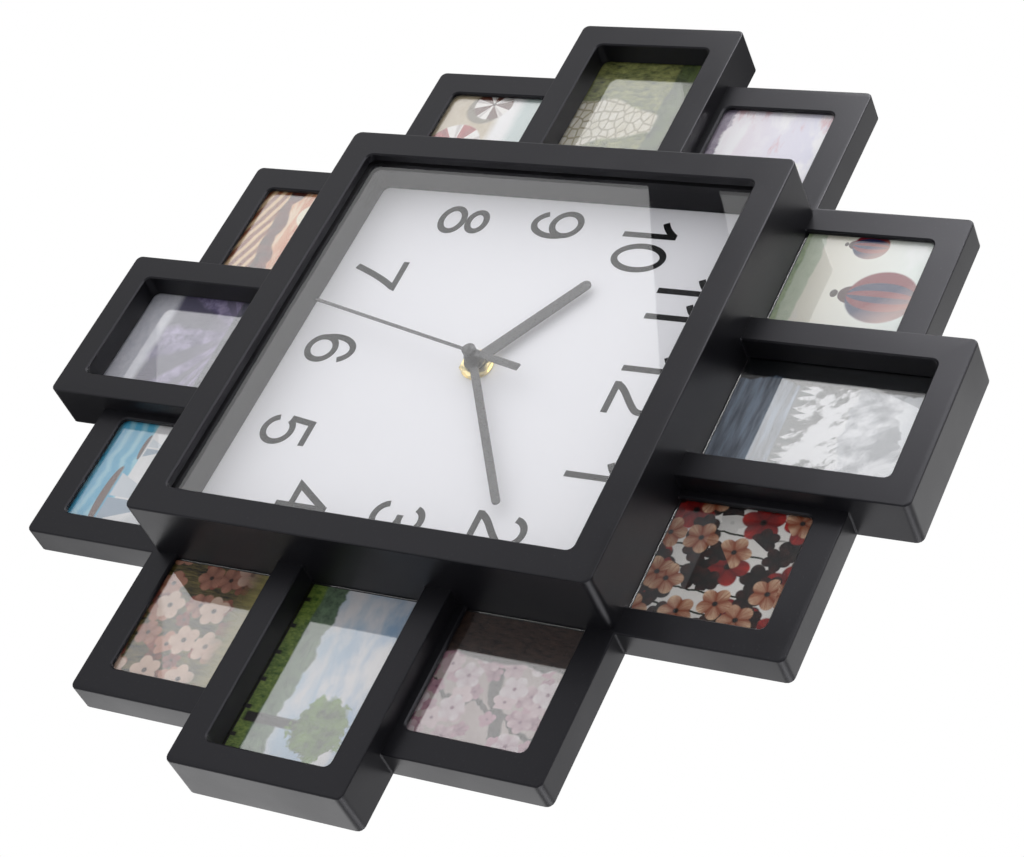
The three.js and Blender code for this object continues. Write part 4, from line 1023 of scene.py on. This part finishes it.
def facing(place, aim):
    """Matrix of something at a place whose -Z looks at an aim."""
    turn = (Vector(place) - Vector(aim)).to_track_quat("Z", "Y")
    return Matrix.LocRotScale(Vector(place), turn, None)


def mirrored_panel(name, start, end, spread, brightness):
    """Panel with an edge where the glass mirrors start and end, which spreads beyond, or back if negative."""
    first, last = mirrored(*start, STUDIO_REACH), mirrored(*end, STUDIO_REACH)
    half_way = (first + last) / 2
    along = (last - first).normalized()
    across = (half_way - on_face(0, 0, dial_front)).cross(along).normalized()
    place = Matrix((along, across, along.cross(across))).transposed().to_4x4()
    place.translation = half_way + across * (spread / 2)
    panel_light(name, place, (last - first).length, abs(spread), brightness)


def black_cloth():
    t = Tree("black_cloth")
    weave = t.noise(t.place(), 3.0)
    tint = t.mix(weave, colour(0x0c0c0c), colour(0x141414))
    return t.surface(Base_Color=tint, Roughness=0.9, Specular_IOR_Level=0.1)


def dark_card(name, corners, cloth):
    """Card that only shows in shiny surfaces."""
    piece = card(name, corners, cloth)
    piece.visible_camera = piece.visible_diffuse = piece.visible_shadow = False
    return piece


def light_clock():
    centre = on_face(0, 0, dial_front)
    for name, (way, width, height, brightness, seen_by) in PANELS.items():
        place = centre + Vector(way).normalized() * STUDIO_REACH
        panel_light(name, facing(place, centre), width, height, brightness, seen_by)
    for name, (start, end, spread, brightness) in MIRRORED_PANELS.items():
        mirrored_panel(name, start, end, spread, brightness)
    cloth = black_cloth()
    for name, corners in MIRRORED_CARDS.items():
        dark_card(name, [mirrored(u, v, CARD_REACH) for u, v in corners], cloth)
    for name, (place, aim, width) in LOW_CARDS.items():
        square = [(x * width / 2, y * width / 2, 0) for x, y in ((-1, -1), (1, -1), (1, 1), (-1, 1))]
        dark_card(name, square, cloth).matrix_world = facing(place, aim)


def shade_clear_sheets():
    """Keeps bright panels out of the clear sheets, so that no angle shows them as white windows."""
    sheets = bpy.data.collections.new("clear_sheets")
    for part in frame["record"]["subparts"]:
        if part["material_slot"] in CLEAR_SHEETS:
            sheets.objects.link(nodes[part["node"]])
    for sheet in sheets.collection_objects:
        sheet.light_linking.link_state = "EXCLUDE"
    for name in SHADED_PANELS:
        bpy.data.objects[name].light_linking.receiver_collection = sheets


def set_camera():
    camera = bpy.data.cameras.new("camera")
    camera.sensor_fit = "HORIZONTAL"
    camera.sensor_width = SENSOR_WIDTH
    camera.lens = CAMERA_LENS
    camera.clip_start, camera.clip_end = CAMERA_CLIP
    forward = Vector(CAMERA_FORWARD).normalized()
    right = forward.cross(Vector(CAMERA_UP)).normalized()
    up = right.cross(forward)
    eye = bpy.data.objects.new("camera", camera)
    bpy.context.scene.collection.objects.link(eye)
    eye.matrix_world = Matrix.Translation(CAMERA_PLACE) @ Matrix((right, up, -forward)).transposed().to_4x4()
    bpy.context.scene.camera = eye


def dress_clock():
    edges = crisp_edges()
    finishes = {
        **{name: moulded_black(name, *look) for name, look in MOULDED.items()},
        "dial_white": dial_white(),
        **{name: clear_sheet(name, *look) for name, look in CLEAR_SHEETS.items()},
        "hand_black": hand_black(),
        "nut_brass": turned_brass(),
        "gear_nylon": natural_nylon(),
        "coil_copper": wound_copper(),
        "board_green": coated_board(),
        "contact_steel": plated_steel(),
        "cell_jacket": cell_jacket(),
    }
    for part in frame["record"]["subparts"]:
        name, slot = part["node"], part["material_slot"]
        if slot == "photo_print":
            cell = name.removeprefix("photo_")
            finish = photo_print(cell, *PICTURES[cell])
        else:
            finish = finishes[slot]
        dress(nodes[name], finish, edges)
    print_numerals()
    fit_screws(finishes["contact_steel"], edges)


dress_clock()
lay_floor()
white_surround()
light_clock()
shade_clear_sheets()
set_camera()
bpy.context.scene.view_settings.view_transform = "Standard"
